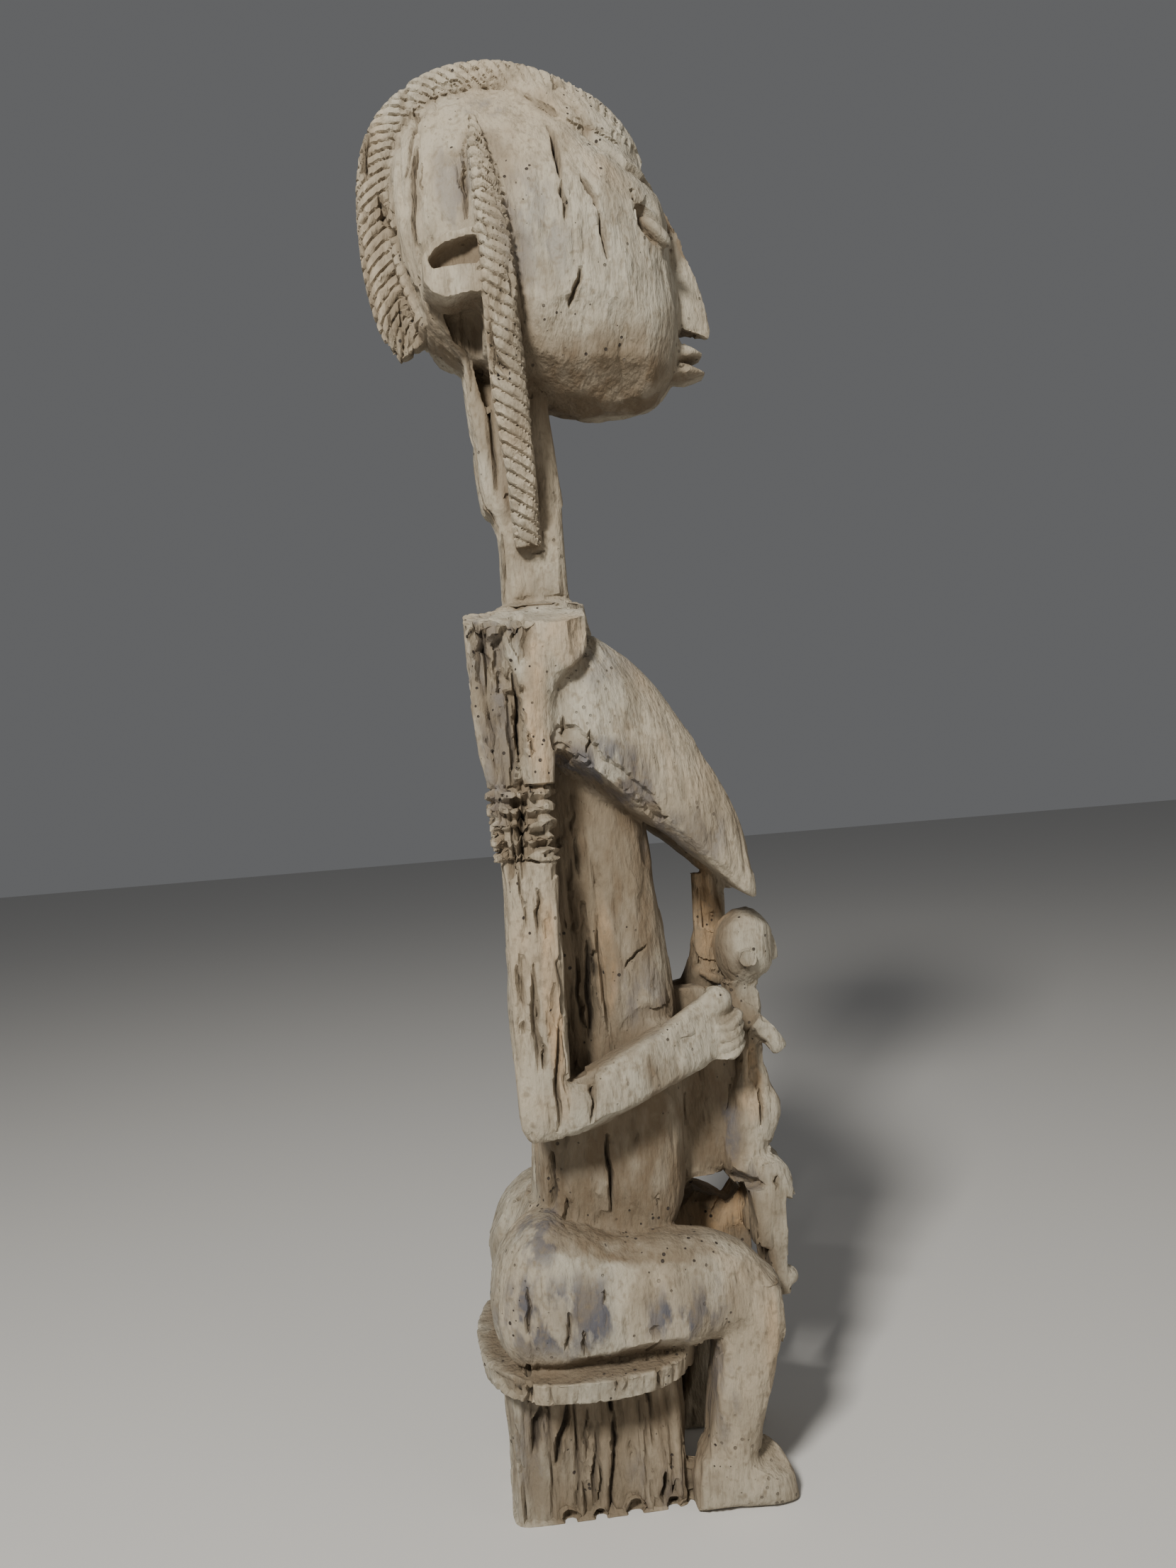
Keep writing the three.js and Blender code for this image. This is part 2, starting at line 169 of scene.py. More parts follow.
def limb(name, rows, steps=3, **section):
    """A form along a bent path. Rows: x, y, z, half depth, half width."""
    full = fair(rows, steps)
    ahead = full[1:] + full[-1:]
    behind = full[:1] + full[:-1]
    leans = np.unwrap([math.atan2(b[0] - a[0], b[2] - a[2]) for a, b in zip(behind, ahead)])
    return grow(name, [(*row, lean) for row, lean in zip(full, leans)], **section)


def mirrored(form):
    """Keeps a form and its twin on the figure's other side in one mesh."""
    twin = form.modifiers.new("Twin", "MIRROR")
    twin.use_axis = (False, True, False)
    twin.use_mirror_merge = False
    apply_all(form)
    return form


def apply_all(form):
    """Applies every modifier of a form."""
    bpy.ops.object.select_all(action="DESELECT")
    bpy.context.view_layer.objects.active = form
    form.select_set(True)
    for modifier in list(form.modifiers):
        bpy.ops.object.modifier_apply(modifier=modifier.name)


def cut(form, *tools):
    """Cuts tools out of a form and removes them."""
    for tool in tools:
        gouge = form.modifiers.new("Gouge", "BOOLEAN")
        gouge.operation = "DIFFERENCE"
        gouge.solver = "EXACT"
        gouge.object = tool
        apply_all(form)
        bpy.data.objects.remove(tool)
    return form


def egg(name, place, half, lean=0.0):
    """A round boss or hollow with its three half sizes."""
    bpy.ops.object.select_all(action="DESELECT")
    bpy.ops.mesh.primitive_uv_sphere_add(
        segments=EGG_SIDES, ring_count=EGG_SIDES // 2, radius=1, location=(0, 0, 0))
    form = bpy.context.object
    form.name = name
    start_edit()
    bpy.ops.transform.resize(value=[size * MM for size in half], center_override=(0, 0, 0))
    swing(lean, (0, 0, 0))
    bpy.ops.transform.translate(value=spot(*place))
    end_edit()
    return form


def pare(form, place, outward):
    """Slices off what lies beyond a plane."""
    facing = Vector(outward).normalized()
    middle = spot(*place) + facing * PARED_BLOCK * MM / 2
    turn = facing.to_track_quat("Z", "Y").to_euler()
    bpy.ops.object.select_all(action="DESELECT")
    bpy.ops.mesh.primitive_cube_add(size=PARED_BLOCK * MM, location=middle, rotation=turn)
    return cut(form, bpy.context.object)


def slab(name, outline, near, far, taper=1.0):
    """A plate with a drawn outline of x and height, from one side to the other."""
    form = start_form(name, len(outline))
    for vertex, (x, z) in zip(form.data.vertices, outline):
        vertex.co = spot(x, near, z)
    middle = sum((vertex.co for vertex in form.data.vertices), Vector()) / len(outline)
    start_edit()
    bpy.ops.mesh.extrude_region_move()
    bpy.ops.transform.translate(value=(0, (far - near) * MM, 0))
    bpy.ops.transform.resize(value=(taper, 1, taper), center_override=middle)
    end_edit()
    return form


# Head

HEAD = [
    # height, back, front, half width
    [634, 48, 82, 10], [637, 40, 92, 18], [643, 22, 106, 31], [655, -4, 116, 45],
    [672, -34, 121, 57], [688, -54, 124, 63], [704, -66, 124, 65], [740, -77, 121, 67],
    [776, -79, 119, 64], [806, -76, 104, 53], [834, -66, 76, 37], [856, -46, 46, 22],
    [866, -20, 20, 8],
]
CREST = [
    # x, height of the outer edge, half width
    [110, 797, 16], [101, 824, 22], [86, 844, 26], [69, 858, 27], [40, 875, 24], [3, 886, 20],
    [-43, 879, 17], [-79, 852, 16], [-96, 812, 15], [-98, 755, 14], [-90, 706, 12], [-75, 680, 7],
]
CREST_DEPTH = 26
CREST_TONGUE = [
    # x, height of the outer edge, half width, depth inwards
    [110, 797, 18, 14], [101, 824, 31, 22], [86, 844, 37, 36], [69, 858, 38, 40], [40, 875, 30, 34],
    [20, 883, 20, 26],
]
CREST_FOOT = [
    # x, distance from the middle
    [40, 26], [60, 33], [77, 37], [91, 37], [103, 28], [112, 12], [124, -16],
]
PLAIT = [
    # height, x, y, half depth, half width along x
    [824, -14, -48, 6, 3], [812, -13, -53, 8, 5], [795, -12, -58, 8, 8], [752, -7, -66, 8, 11],
    [715, -5, -70, 9, 12], [675, -5, -68, 9, 12.5], [635, -3, -58, 9, 12.5], [595, 0, -44, 8, 11],
    [560, 2, -30, 8, 10], [540, 3, -26, 7, 9],
]


def head():
    skull = upright("skull", HEAD, steps=4, sides=48, bow=2.25)
    for side in (-1, 1):
        pare(skull, (60, 58 * side, 690), (0.12, side, -0.38))
        pare(skull, (60, 36 * side, 650), (0.1, 0.75 * side, -0.75))
    cut(skull, mirrored(egg("socket", (106, -47, 748), (19, 13, 11), lean=0.8)))
    hollow = [(-47, 703), (-22, 703), (-16, 690), (-16, 664), (-26, 656), (-38, 676)]
    cut(skull, mirrored(slab("under_ear", hollow, -76, -31, 0.75)))
    return [skull, mirrored(egg("eye", (105, -40, 747), (14, 8, 5), lean=0.8))]


def nose():
    rows = [
        # height, ridge, root, half width
        [786, 119, 100, 3], [757, 131, 104, 6], [720, 142, 106, 10], [691, 147, 106, 14],
    ]
    stations = [((ridge + root) / 2, 0, z, (ridge - root) / 2, half, 0)
                for z, ridge, root, half in fair(rows, 3)]
    x, y, z, deep, half, _ = stations[-1]
    stations.append((x - 1, y, z + 1, deep, half - 1, 0.25))
    return grow("nose", stations, sides=20, bow=1.35, belly=0.9)


def lip(name, root, corner, tip, over, under):
    """A wedge plate across the face. Heights: root's top and bottom, tip's top and bottom."""
    rows = [
        # x, bottom, top, half width
        [108, root[1], root[0], corner],
        [122, root[1], root[0], corner],
        [tip - 5, under, over, corner * 0.75],
        [tip, under + 1, over - 1, corner * 0.45],
    ]
    plates = [[x, b, t, -half, half] for x, b, t, half in rows]
    return forward(name, plates, sides=20, bow=3)


def ear():
    """A thick flap with a squared hollow in its upper half."""
    outline = [(-54, 722), (-47, 731), (-39, 737), (-23, 741), (-8, 742),
               (-8, 698), (-24, 699), (-40, 696), (-49, 700), (-54, 707)]
    hollow = [(-51, 721), (-45, 728), (-38, 732), (-23, 736),
              (-13, 737), (-13, 717), (-26, 717), (-49, 714)]
    flap = slab("ear", outline, -71, -44, 1.08)
    cut(flap, slab("ear_hollow", hollow, -80, -60, 0.85))
    return mirrored(flap)


def along_edge(name, rows, bow, belly):
    """A band whose outer edge follows a line. Rows: x, its height, half width, depth inwards."""
    line = np.array(fair(rows, 5))
    run = np.gradient(line[:, :2], axis=0)
    run /= np.linalg.norm(run, axis=1)[:, None]
    leans = np.unwrap([math.atan2(dx, dz) for dx, dz in run])
    stations = [(x - dz * deep / 2, 0, z + dx * deep / 2, deep / 2, wide, lean)
                for (x, z, wide, deep), (dx, dz), lean in zip(line, run, leans)]
    return grow(name, stations, sides=28, bow=bow, belly=belly)


def crest():
    """A ridge round the head, which spreads to a broad tongue over the brow."""
    ridge = along_edge("crest", [[*row, CREST_DEPTH] for row in CREST], 3.2, 0.6)
    return [ridge, along_edge("crest_tongue", CREST_TONGUE, 1.8, 0.85)]


def plait():
    rows = [[z, x - half, x + half, deep, y] for z, x, y, deep, half in PLAIT]
    return upright("plait", rows, steps=5, sides=16, bow=3)


# Trunk


def neck():
    """A four-sided post, split at its upper back into a standing sliver."""
    post = upright("neck", [
        [470, -20, 30, 24], [545, -18, 30, 23], [566, -22, 30, 23], [575, -28, 30, 25],
        [612, -32, 28, 25], [650, -34, 25, 26], [700, -36, 24, 27],
    ], sides=32, bow=4.5)
    gap = [(-27, 674), (-13, 674), (-15, 650), (-18, 632), (-21, 650)]
    return cut(post, slab("neck_gap", gap, -40, -8))


def shoulders():
    rows = [
        # across, bottom, top, back, front
        [-91, 462, 481, -46, 14], [-74, 446, 486, -46, 24], [-54, 440, 493, -44, 32],
        [-24, 430, 505, -26, 39], [0, 430, 508, -24, 40],
    ]
    rows += [[-y, *rest] for y, *rest in rows[-2::-1]]
    yoke = upright("yoke", [[y, back, front, (top - bottom) / 2, -(top + bottom) / 2]
                            for y, bottom, top, back, front in rows], steps=2, sides=28, bow=5)
    return lay_across(yoke)


def lay_across(form):
    """Turns a form that was grown upright so that it runs across, with its left side down."""
    start_edit()
    bpy.ops.transform.rotate(value=math.pi / 2, orient_axis="X", center_override=SEAT)
    end_edit()
    return form


def torso():
    return upright("torso", [
        [20, -30, 58, 42], [60, -30, 63, 45], [83, -30, 77, 46], [130, -27, 81, 48],
        [216, -26, 82, 48], [290, -24, 75, 47], [345, -24, 70, 47], [420, -24, 58, 50],
        [500, -24, 38, 50],
    ], sides=40, bow=3.4)


def belly():
    """The belly is a narrower web that runs out to the child's back."""
    return upright("belly", [
        [80, 30, 76, 10], [96, 30, 92, 12], [101, 30, 118, 13], [205, 30, 128, 13],
        [228, 30, 100, 10],
    ], steps=2, sides=16, bow=3)


def breast():
    """A long pointed breast with a flat underside, whose sharp edge runs down to the tip."""
    rows = [
        [-2, 412, 448, -52, -78], [6, 394, 460, -34, -84], [22, 374, 471, -12, -85],
        [40, 364, 475, -4, -82], [70, 344, 451, -6, -71], [96, 322, 416, -12, -62],
        [118, 302, 375, -21, -53], [132, 291, 340, -28, -46], [139, 290, 304, -33, -40],
    ]
    form = forward("breast", rows, steps=4, sides=40, bow=2.3, belly=0.27)
    pare(form, (24, -71, 385), (-0.55, -0.36, -0.76))
    return mirrored(form)


# Arms

ARM_ACROSS = 72
ARMLET_TOP = 378
ARMLET_BOTTOM = 328
ARMLET_BANDS = 5


def upper_arm():
    rows = [
        [500, -47, 33, 20], [470, -47, 34, 20], [457, -46, 30, 19], [440, -46, 14, 19],
        [407, -43, 8, 18], [352, -37, 4, 18], [314, -33, 3, 17], [208, -36, 1, 17],
        [160, -34, -2, 16], [149, -27, -10, 9],
    ]
    arm = upright("upper_arm", [[*row, -ARM_ACROSS] for row in rows], steps=2, sides=32, bow=5)
    pare(arm, (0, -91, 481), (0, -0.34, 0.94))
    pare(arm, (34, -80, 470), (0.6, -0.8, 0))
    return mirrored(arm)


def armlet():
    tall = ARMLET_TOP - ARMLET_BOTTOM
    forms = []
    for band in range(ARMLET_BANDS):
        z = ARMLET_BOTTOM + tall / ARMLET_BANDS * (band + 0.5)
        back = -36 - 4 * (z - ARMLET_BOTTOM) / tall
        rows = [
                [z - 4.6, back + 4, 2, 16],
            [z - 2.5, back - 2, 6, 20],
            [z + 2.5, back - 2, 6, 20],
            [z + 4.6, back + 4, 2, 16],
        ]
        forms.append(mirrored(upright(
            f"armlet_{band}", [[*row, -ARM_ACROSS] for row in rows], steps=1, sides=28, bow=3.6)))
    return forms


def forearm():
    form = limb("forearm", [
        [-18, -73, 168, 15, 15], [8, -73, 171, 19, 17], [40, -66, 184, 19, 16],
        [76, -52, 196, 20, 14], [98, -41, 204, 22, 11], [110, -36, 206, 17, 9],
    ], sides=28, bow=3.2)
    pare(form, (45, -77, 168), (0.34, -0.5, -0.8))
    return mirrored(form)


def clasping_hand():
    """The right hand lies against the child's back, its four fingers nested one over the other."""
    fingers, pitch, lowest = 4, 6.6, 185
    forms = [
        egg("palm", (105, -36, 206), (14, 11, 24)),
        egg("knuckle", (104, -42, 222), (12, 9, 11)),
    ]
    for finger in range(fingers):
        z = lowest + finger * pitch
        forms.append(limb(f"finger_{finger}", [
            [101, -45, z - 1, 3.2, 5],
            [110, -49, z + 1, 3.2, 5.5],
            [117, -47, z + 5, 3.1, 5.5],
            [121, -41, z + 10, 2.6, 5],
        ], steps=4, sides=16))
    return forms


def raised_hand():
    """The left hand stands upright and holds the breast from below."""
    forms = [limb("raised_palm", [
        [98, 38, 205, 14, 10], [112, 36, 232, 14, 11], [118, 34, 262, 13, 9],
    ], sides=20)]
    for x in (109, 118, 127):
        forms.append(limb(f"raised_finger_{x}", [
            [x, 34, 250, 5, 6],
            [x, 33, 276, 4, 5],
            [x + 1, 34, 304, 4, 5],
        ], sides=14))
    thumb = [[124, 26, 224, 5, 5], [116, 24, 227, 4, 4], [106, 24, 232, 2, 2]]
    forms.append(limb("thumb", thumb, sides=12))
    return forms


# Hips and legs


def thighs():
    """The far thigh has lost its top to rot, in a jagged bite above the lap."""
    thigh = forward("thigh", [
        [-63, 26, 50, -24, -54], [-57, 8, 66, -6, -68], [-44, -3, 84, -2, -80],
        [-24, -4, 94, -2, -86], [-4, -4, 86, -4, -88], [28, -4, 77, -8, -88],
        [66, -1, 74, -16, -84], [88, 2, 70, -20, -78], [108, -10, 60, -22, -75],
        [121, -12, 49, -24, -73], [130, -6, 38, -30, -68],
    ], steps=4, sides=40, bow=2.6, belly=0.42)
    pare(thigh, (30, -80, 11), (0.05, -0.62, -0.78))
    mirrored(thigh)
    bite = [(80, 110), (80, 76), (92, 58), (128, 50), (140, 50), (140, 110)]
    cut(thigh, slab("bite", bite, 14, 94))
    torn = [(70, 20), (70, 50), (79, 62), (89, 74), (93, 73), (101, 69), (107, 67), (111, 64),
            (114, 60), (117, 65), (122, 72), (126, 68), (129, 60), (129, 20)]
    pelvis = upright("pelvis", [
        [-4, -50, 58, 50], [60, -48, 60, 50], [92, -34, 64, 44],
    ], sides=24, bow=3)
    return [thigh, slab("torn_thigh", torn, 24, 54), pelvis]


def shin():
    knee, ankle = 40, 12 - SEAT_HEIGHT
    rows = [
        # share of the way down, back, front, half width, middle across
        [0, 92, 130, 24, -49], [0.22, 84, 130, 25, -49], [0.5, 79, 121, 22, -50],
        [0.72, 74, 112, 19, -50], [1, 68, 106, 15, -50],
    ]
    return mirrored(upright("shin", [[knee + (ankle - knee) * down, *rest] for down, *rest in rows],
                            sides=32, bow=3.6))


def foot():
    rows = [
        # x, top above the ground, inner side, outer side
        [62, 22, -36, -64], [72, 44, -33, -67], [98, 50, -32, -68], [114, 38, -31, -69],
        [127, 24, -33, -65], [133, 9, -40, -58],
    ]
    form = forward("foot", [[x, -SEAT_HEIGHT, top - SEAT_HEIGHT, inner, outer]
                            for x, top, inner, outer in rows], sides=28, bow=2.8, belly=0.2)
    pare(form, (106, -60, -79), (0.45, -0.42, 0.79))
    return mirrored(form)


# Child


def child():
    body = upright("child_body", [
        [88, 110, 128, 14], [104, 105, 142, 19], [120, 107, 147, 21], [138, 112, 153, 21],
        [158, 118, 147, 19], [178, 122, 143, 19], [192, 121, 147, 22], [204, 120, 145, 14],
        [218, 117, 144, 12], [228, 117, 144, 14],
    ], sides=20, bow=2.8)
    skull = upright("child_skull", [
        [226, 122, 142, 10], [234, 117, 152, 18], [246, 114, 157, 22], [258, 114, 157, 23],
        [270, 119, 152, 20], [279, 131, 143, 8],
    ], sides=24)
    pare(skull, (154, 0, 250), (1, 0, -0.08))
    for side in (-1, 1):
        pare(skull, (135, 20.5 * side, 250), (0.05, side, 0.12))
        pare(skull, (150, 14 * side, 252), (0.75, 0.66 * side, 0))
    ridge_rows = [[239, 143, 151, 4], [241, 143, 160, 5], [250, 143, 160, 4], [266, 143, 154, 3]]
    ridge = upright("child_nose", ridge_rows, sides=12, bow=1.6, belly=0.8)
    ear_rows = [[across, 125, 139, 7, -246] for across in (17, 26.5)]
    disc = mirrored(lay_across(upright("child_ear", ear_rows, steps=1, sides=18, bow=2)))
    arm = mirrored(limb("child_arm", [
        [134, -20, 201, 8, 6], [144, -21, 191, 7, 6], [152, -18, 180, 6, 6],
    ], sides=14))
    upper = limb("child_thigh", [
        [110, -13, 95, 14, 11], [128, -14, 96, 15, 11], [141, -14, 88, 14, 11],
        [150, -14, 74, 6, 9],
    ], sides=20, bow=2.8)
    pare(upper, (122, -23, 94), (-0.45, -0.5, -0.74))
    lower = mirrored(upright("child_shin", [
        [10, 133, 146, 9, -15], [42, 131, 146, 9, -15], [47, 122, 147, 11, -15],
        [73, 122, 148, 11, -15], [86, 118, 148, 11, -15],
    ], steps=1, sides=20, bow=5))
    toes = mirrored(egg("child_toes", (144, -15, 20), (9, 9, 7)))
    return [body, skull, ridge, disc, arm, mirrored(upper), lower, toes]


# Stool


def stool():
    seat = upright("seat", [
        [-17, -70, 74, 85], [-15, -74, 78, 89], [-2, -76, 80, 91], [0, -74, 78, 89],
    ], steps=1, sides=64, bow=2.5)
    post = upright("post", [
        [-SEAT_HEIGHT, -60, 62, 54],
        [8 - SEAT_HEIGHT, -61, 63, 55],
        [-12, -59, 63, 55],
    ], steps=1, sides=72, bow=9)
    nibbles = [
        # x, half width, height
        [-21, 4, 7], [-1, 4, 6], [22, 5, 9], [48, 4, 7],
    ]
    below = -2 - SEAT_HEIGHT
    for x, half, rise in nibbles:
        top = rise - SEAT_HEIGHT
        outline = [(x - half, below), (x + half, below), (x + 1, top), (x - 1, top)]
        cut(post, slab("base_notch", outline, -70, -48))
    return [seat, post]


def carve_block():
    """Joins every form into one skin."""
    forms = [
        *head(), nose(), lip("upper_lip", (684, 669), 17, 138, 677, 672),
        lip("lower_lip", (668, 656), 17, 139, 663, 659), ear(), *crest(), mirrored(plait()),
        neck(), shoulders(), torso(), belly(), breast(), upper_arm(), *armlet(), forearm(),
        *clasping_hand(), *raised_hand(), *thighs(), shin(), foot(), *child(), *stool(),
    ]
    bpy.ops.object.select_all(action="DESELECT")
    for form in forms:
        form.select_set(True)
    whole = forms[0]
    bpy.context.view_layer.objects.active = whole
    bpy.ops.object.join()
    whole.name = "mother_and_child"
    whole.data.name = "mother_and_child"
    skin = whole.modifiers.new("Skin", "REMESH")
    skin.mode = "VOXEL"
    skin.voxel_size = SKIN_STEP * MM
    apply_all(whole)
    return whole


# Tool marks and weather, cut into the joined skin. Depths and widths are millimetres.

WEAR = [
    # x, height, reach along x, reach in height, how weathered it is from 0 to 1
    [-75, 770, 30, 80, 0.9], [-40, 700, 30, 40, 0.8], [-42, 775, 24, 40, 0.15],
    [60, 740, 60, 50, 0.3], [110, 730, 25, 60, 0.05], [-32, 718, 13, 15, 0.2],
    [-30, 600, 22, 60, 0.7], [15, 590, 22, 60, 0.2], [-30, 460, 20, 40, 0.9],
    [15, 440, 14, 50, 0.15], [-32, 400, 14, 60, 1.0], [-3, 350, 14, 40, 0.4],
    [-25, 260, 20, 60, 0.75], [18, 270, 16, 70, 0.8], [50, 260, 22, 60, 0.35],
    [75, 390, 45, 50, 0.1], [60, 180, 50, 20, 0.1], [-25, 110, 20, 40, 0.7], [20, 30, 80, 30, 0.35],
    [0, -12, 90, 12, 0.6], [10, -70, 55, 45, 1.0], [100, -40, 30, 60, 0.05],
    [135, 150, 25, 110, 0.25],
]
WEAR_BETWEEN = 0.4
# Fine carving that blade and weather leave whole: x, distance from the middle, height and reach
FINE_PARTS = {
    "eye": (106, 40, 747, 17),
    "lips": (130, 0, 668, 20),
    "nose": (130, 0, 715, 26),
    "ear": (-32, 62, 716, 32),
    "hand": (108, 43, 208, 27),
    "child_head": (136, 0, 252, 30),
    "child_hand": (152, 18, 182, 10),
    "child_toes": (144, 15, 20, 12),
}
# Where each crack that shows starts and ends, across and down in the photo's pixels,
# and for one that stands wide open also its width in millimetres
SEEN_CRACKS = {
    "temple_upper": (774, 174, 793, 252, 4.5),
    "temple_lower": (793, 252, 799, 310, 3.5),
    "cheek_upper": (820, 245, 845, 294, 4),
    "cheek_middle": (845, 294, 860, 367),
    "cheek_lower": (821, 375, 804, 435, 4),
    "brow": (895, 263, 895, 284),
    "behind_plait": (653, 226, 657, 310),
    "crest_hole": (585, 154, 587, 180),
    "crest_back_upper": (533, 272, 545, 320),
    "crest_back_lower": (545, 320, 557, 358),
    "shoulder_notch": (724, 874, 724, 906),
    "shoulder_rear": (684, 913, 685, 949),
    "arm_front": (748, 1033, 751, 1069),
    "breast_root": (793, 1008, 794, 1042),
    "breast_notch": (834, 1029, 829, 1064),
    "arm_below_armlet": (759, 1254, 762, 1318),
    "arm_middle": (756, 1398, 758, 1488),
    "arm_rear": (730, 1360, 731, 1403),
    "forearm": (841, 1519, 834, 1587),
    "trunk_gash": (881, 1367, 914, 1332),
    "child_belly": (1074, 1535, 1074, 1592),
    "child_knee": (1096, 1658, 1098, 1681),
    "thigh_rear": (743, 1816, 744, 1886),
    "thigh_middle": (803, 1851, 800, 1911),
    "thigh_low": (823, 1879, 827, 1916),
    "thigh_short": (854, 1821, 851, 1841),
    "rim_middle": (869, 1929, 871, 1967),
    "rim_rear": (726, 1931, 728, 1972, 5),
    "arm_long": (716, 974, 723, 1109, 3.6),
    "armlet_slot": (737, 1120, 738, 1243, 3.6),
    "elbow": (790, 1436, 788, 1601, 4),
    "trunk_long": (831, 1322, 833, 1469, 5),
    "lower_back": (777, 1625, 777, 1705, 6),
    "rim_split": (745, 1926, 745, 1982, 5),
    "post_niche_rear": (763, 1987, 753, 2057, 7),
    "post_niche_second": (801, 1987, 786, 2077, 6),
    "post_slot_third": (813, 2022, 818, 2147),
    "post_slot_middle": (843, 2012, 841, 2142, 4),
    "post_slot_upper": (866, 2012, 869, 2077, 4.5),
    "post_front": (941, 2082, 939, 2125, 5),
    "post_front_low": (959, 2087, 954, 2122),
}
DEEPEST_CRACK = 9
# Rotted places: across and down in the photo's pixels, reach along x and in height, depth
ROTTED = {
    "arm_above_armlet": (700, 1010, 18, 60, 6),
    "armlet_side": (738, 1175, 4, 14, 3),
    "armlet_under": (718, 1229, 10, 6, 6),
    "shoulder_recess": (732, 892, 9, 15, 3),
    "crest_end": (570, 440, 14, 24, 4.5),
    "crest_back": (545, 350, 7, 40, 4),
    "trunk_rear": (815, 1390, 12, 60, 4),
    "rim_back": (715, 1945, 12, 12, 4),
    "child_side": (1070, 1500, 7, 22, 3),
}
# Broken edges: reach and depth in millimetres, then the pixels they run through
BROKEN_EDGES = {
    "breast_root": (9, 3.5, [(798, 1040), (835, 1066)]),
    "breast_edge": (6, 3.2, [(835, 1066), (874, 1095), (908, 1122), (928, 1154)]),
    "arm_strip": (3.5, 4, [(698, 900), (711, 974), (728, 992), (736, 1060), (738, 1109)]),
    "crest_nape": (7, 5, [(548, 400), (556, 425), (566, 462)]),
}
# Colour that shows in the photo: pixel, reach along x and in height in millimetres, strength
STAINS = {
    "thigh_rear": (790, 1860, 40, 25, 1.0),
    "thigh_front": (972, 1853, 30, 19, 1.0),
    "breast_root": (845, 1075, 26, 14, 0.8),
    "breast_edge": (900, 1118, 18, 10, 0.6),
    "trunk_fold": (760, 1745, 14, 16, 0.7),
    "child_knee": (1062, 1660, 12, 12, 0.5),
    "hip": (740, 1880, 16, 18, 0.6),
    "shin": (1020, 1974, 8, 32, 0.5),
    "temple": (753, 315, 22, 40, 0.4),
    "crown": (683, 148, 16, 9, 0.5),
    "behind_plait": (636, 252, 12, 28, 0.45),
    "arm_rear": (692, 1000, 14, 62, 0.8),
    "shoulder": (732, 895, 7, 12, 0.7),
    "breast_tip": (985, 1178, 34, 16, 0.55),
    "breast_top": (856, 938, 22, 14, 0.35),
    "trunk": (907, 1403, 18, 22, 0.45),
    "child_hip": (1030, 1592, 7, 18, 0.8),
    "post_rear": (745, 2040, 16, 30, 0.4),
    "post_front": (930, 2090, 18, 20, 0.4),
}
BARE_WOOD = {
    "torn_thigh": (1011, 1705, 30, 22, 1.0),
    "arm_front": (760, 1010, 8, 50, 0.8),
    "arm_front_low": (780, 1398, 6, 60, 0.8),
    "trunk_strip": (853, 1351, 7, 36, 0.6),
    "child_side": (1062, 1526, 8, 26, 0.7),
    "far_hand": (990, 1300, 14, 40, 0.8),
    "yoke": (800, 900, 14, 16, 0.5),
    "elbow": (795, 1520, 4, 26, 0.6),
    "shin_front": (1092, 1900, 5, 40, 0.4),
}
# Painted shade, mixed with the wood's darker brown, in patches: under the jaw, ear and nape, on the
# trunk behind the arm and breast, on the belly web, on the post under the seat and along the plait.
# Pixel, reach along x and in height in millimetres, strength
SHADE_AND_BROWN_PATCHES = {
    "trunk_low": (870, 1650, 62, 84, 1.0),
    "trunk_high": (850, 1230, 44, 90, 1.0),
    "trunk_rear": (815, 1400, 18, 90, 1.0),
    "jaw": (866, 550, 70, 32, 1.0),
    "nape": (620, 477, 22, 20, 0.8),
    "under_ear": (651, 455, 16, 22, 1.0),
    "post_top": (861, 2002, 62, 14, 0.9),
    "post": (851, 2067, 62, 50, 0.7),
    "belly_web": (1006, 1573, 20, 56, 1.0),
    "plait": (715, 330, 12, 120, 0.5),
}
# Rays and reach in millimetres of the shut-in measure that the painted shade in recesses follows
SHELTER_RAYS = 22
SHELTER_REACH = 70
CRACK_THICKNESS = 14
NARROWEST_CRACK = 2.4
CRACK_WIDENING = 0.025
CRACK_SLENDERNESS = 1.5
SEEN_WANDER = 1.1
OTHER_WANDER = 1.2
OTHER_CRACKS = 150
GOUGES = 260
ADZE_CUTS = 2600
# Half width of a blade's cut, how many times longer it is, and how deep it sinks
ADZE_REACH = (6, 14)
ADZE_STRETCH = (1.3, 2.6)
ADZE_SINK = (0.5, 1.5)
# Depths of the weather's marks where they are strongest
RIB_DEPTH = 4.5
CHECK_DEPTH = 3.4
FINE_CHECK_DEPTH = 1.8
FLAKE_DEPTH = 2.6
FIBRE_DEPTH = 0.5
# The step below the foot of the crest's tongue, in a broad part and a crisp one
BROAD_STEP = 2.8
CRISP_STEP = 2.2
# How much a millimetre of general loss adds to the painted shade of hollows, against one of a split
LOSS_SHADE = 0.25


def ripple(places, across, along, layer):
    """Smooth noise from about -1 to 1, with waves so many millimetres across and along grain."""
    at = (places / (across, across, along) + layer * 7.31).astype(np.float32)
    cell = np.floor(at).astype(np.int32)
    rest = at - cell
    ease = rest**3 * (rest * (rest * 6 - 15) + 10)
    total = np.zeros(len(places), np.float32)
    for corner in np.ndindex(2, 2, 2):
        i, j, k = ((cell + corner) % LATTICE).T
        share = np.where(corner, ease, 1 - ease).prod(axis=1)
        total += share * (SLOPES[i, j, k] * (rest - corner)).sum(axis=1)
    return total * 1.7


def ramp(value, start, end):
    return np.clip((value - start) / (end - start), 0, 1)


def how_weathered(places):
    x, _, z = places.T
    total = np.full(len(places), 0.12)
    wear = total * WEAR_BETWEEN
    for at_x, at_z, reach, rise, amount in WEAR:
        near = np.exp(-((x - at_x) / reach) ** 2 - ((z - at_z) / rise) ** 2)
        total += near
        wear += near * amount
    return wear / total


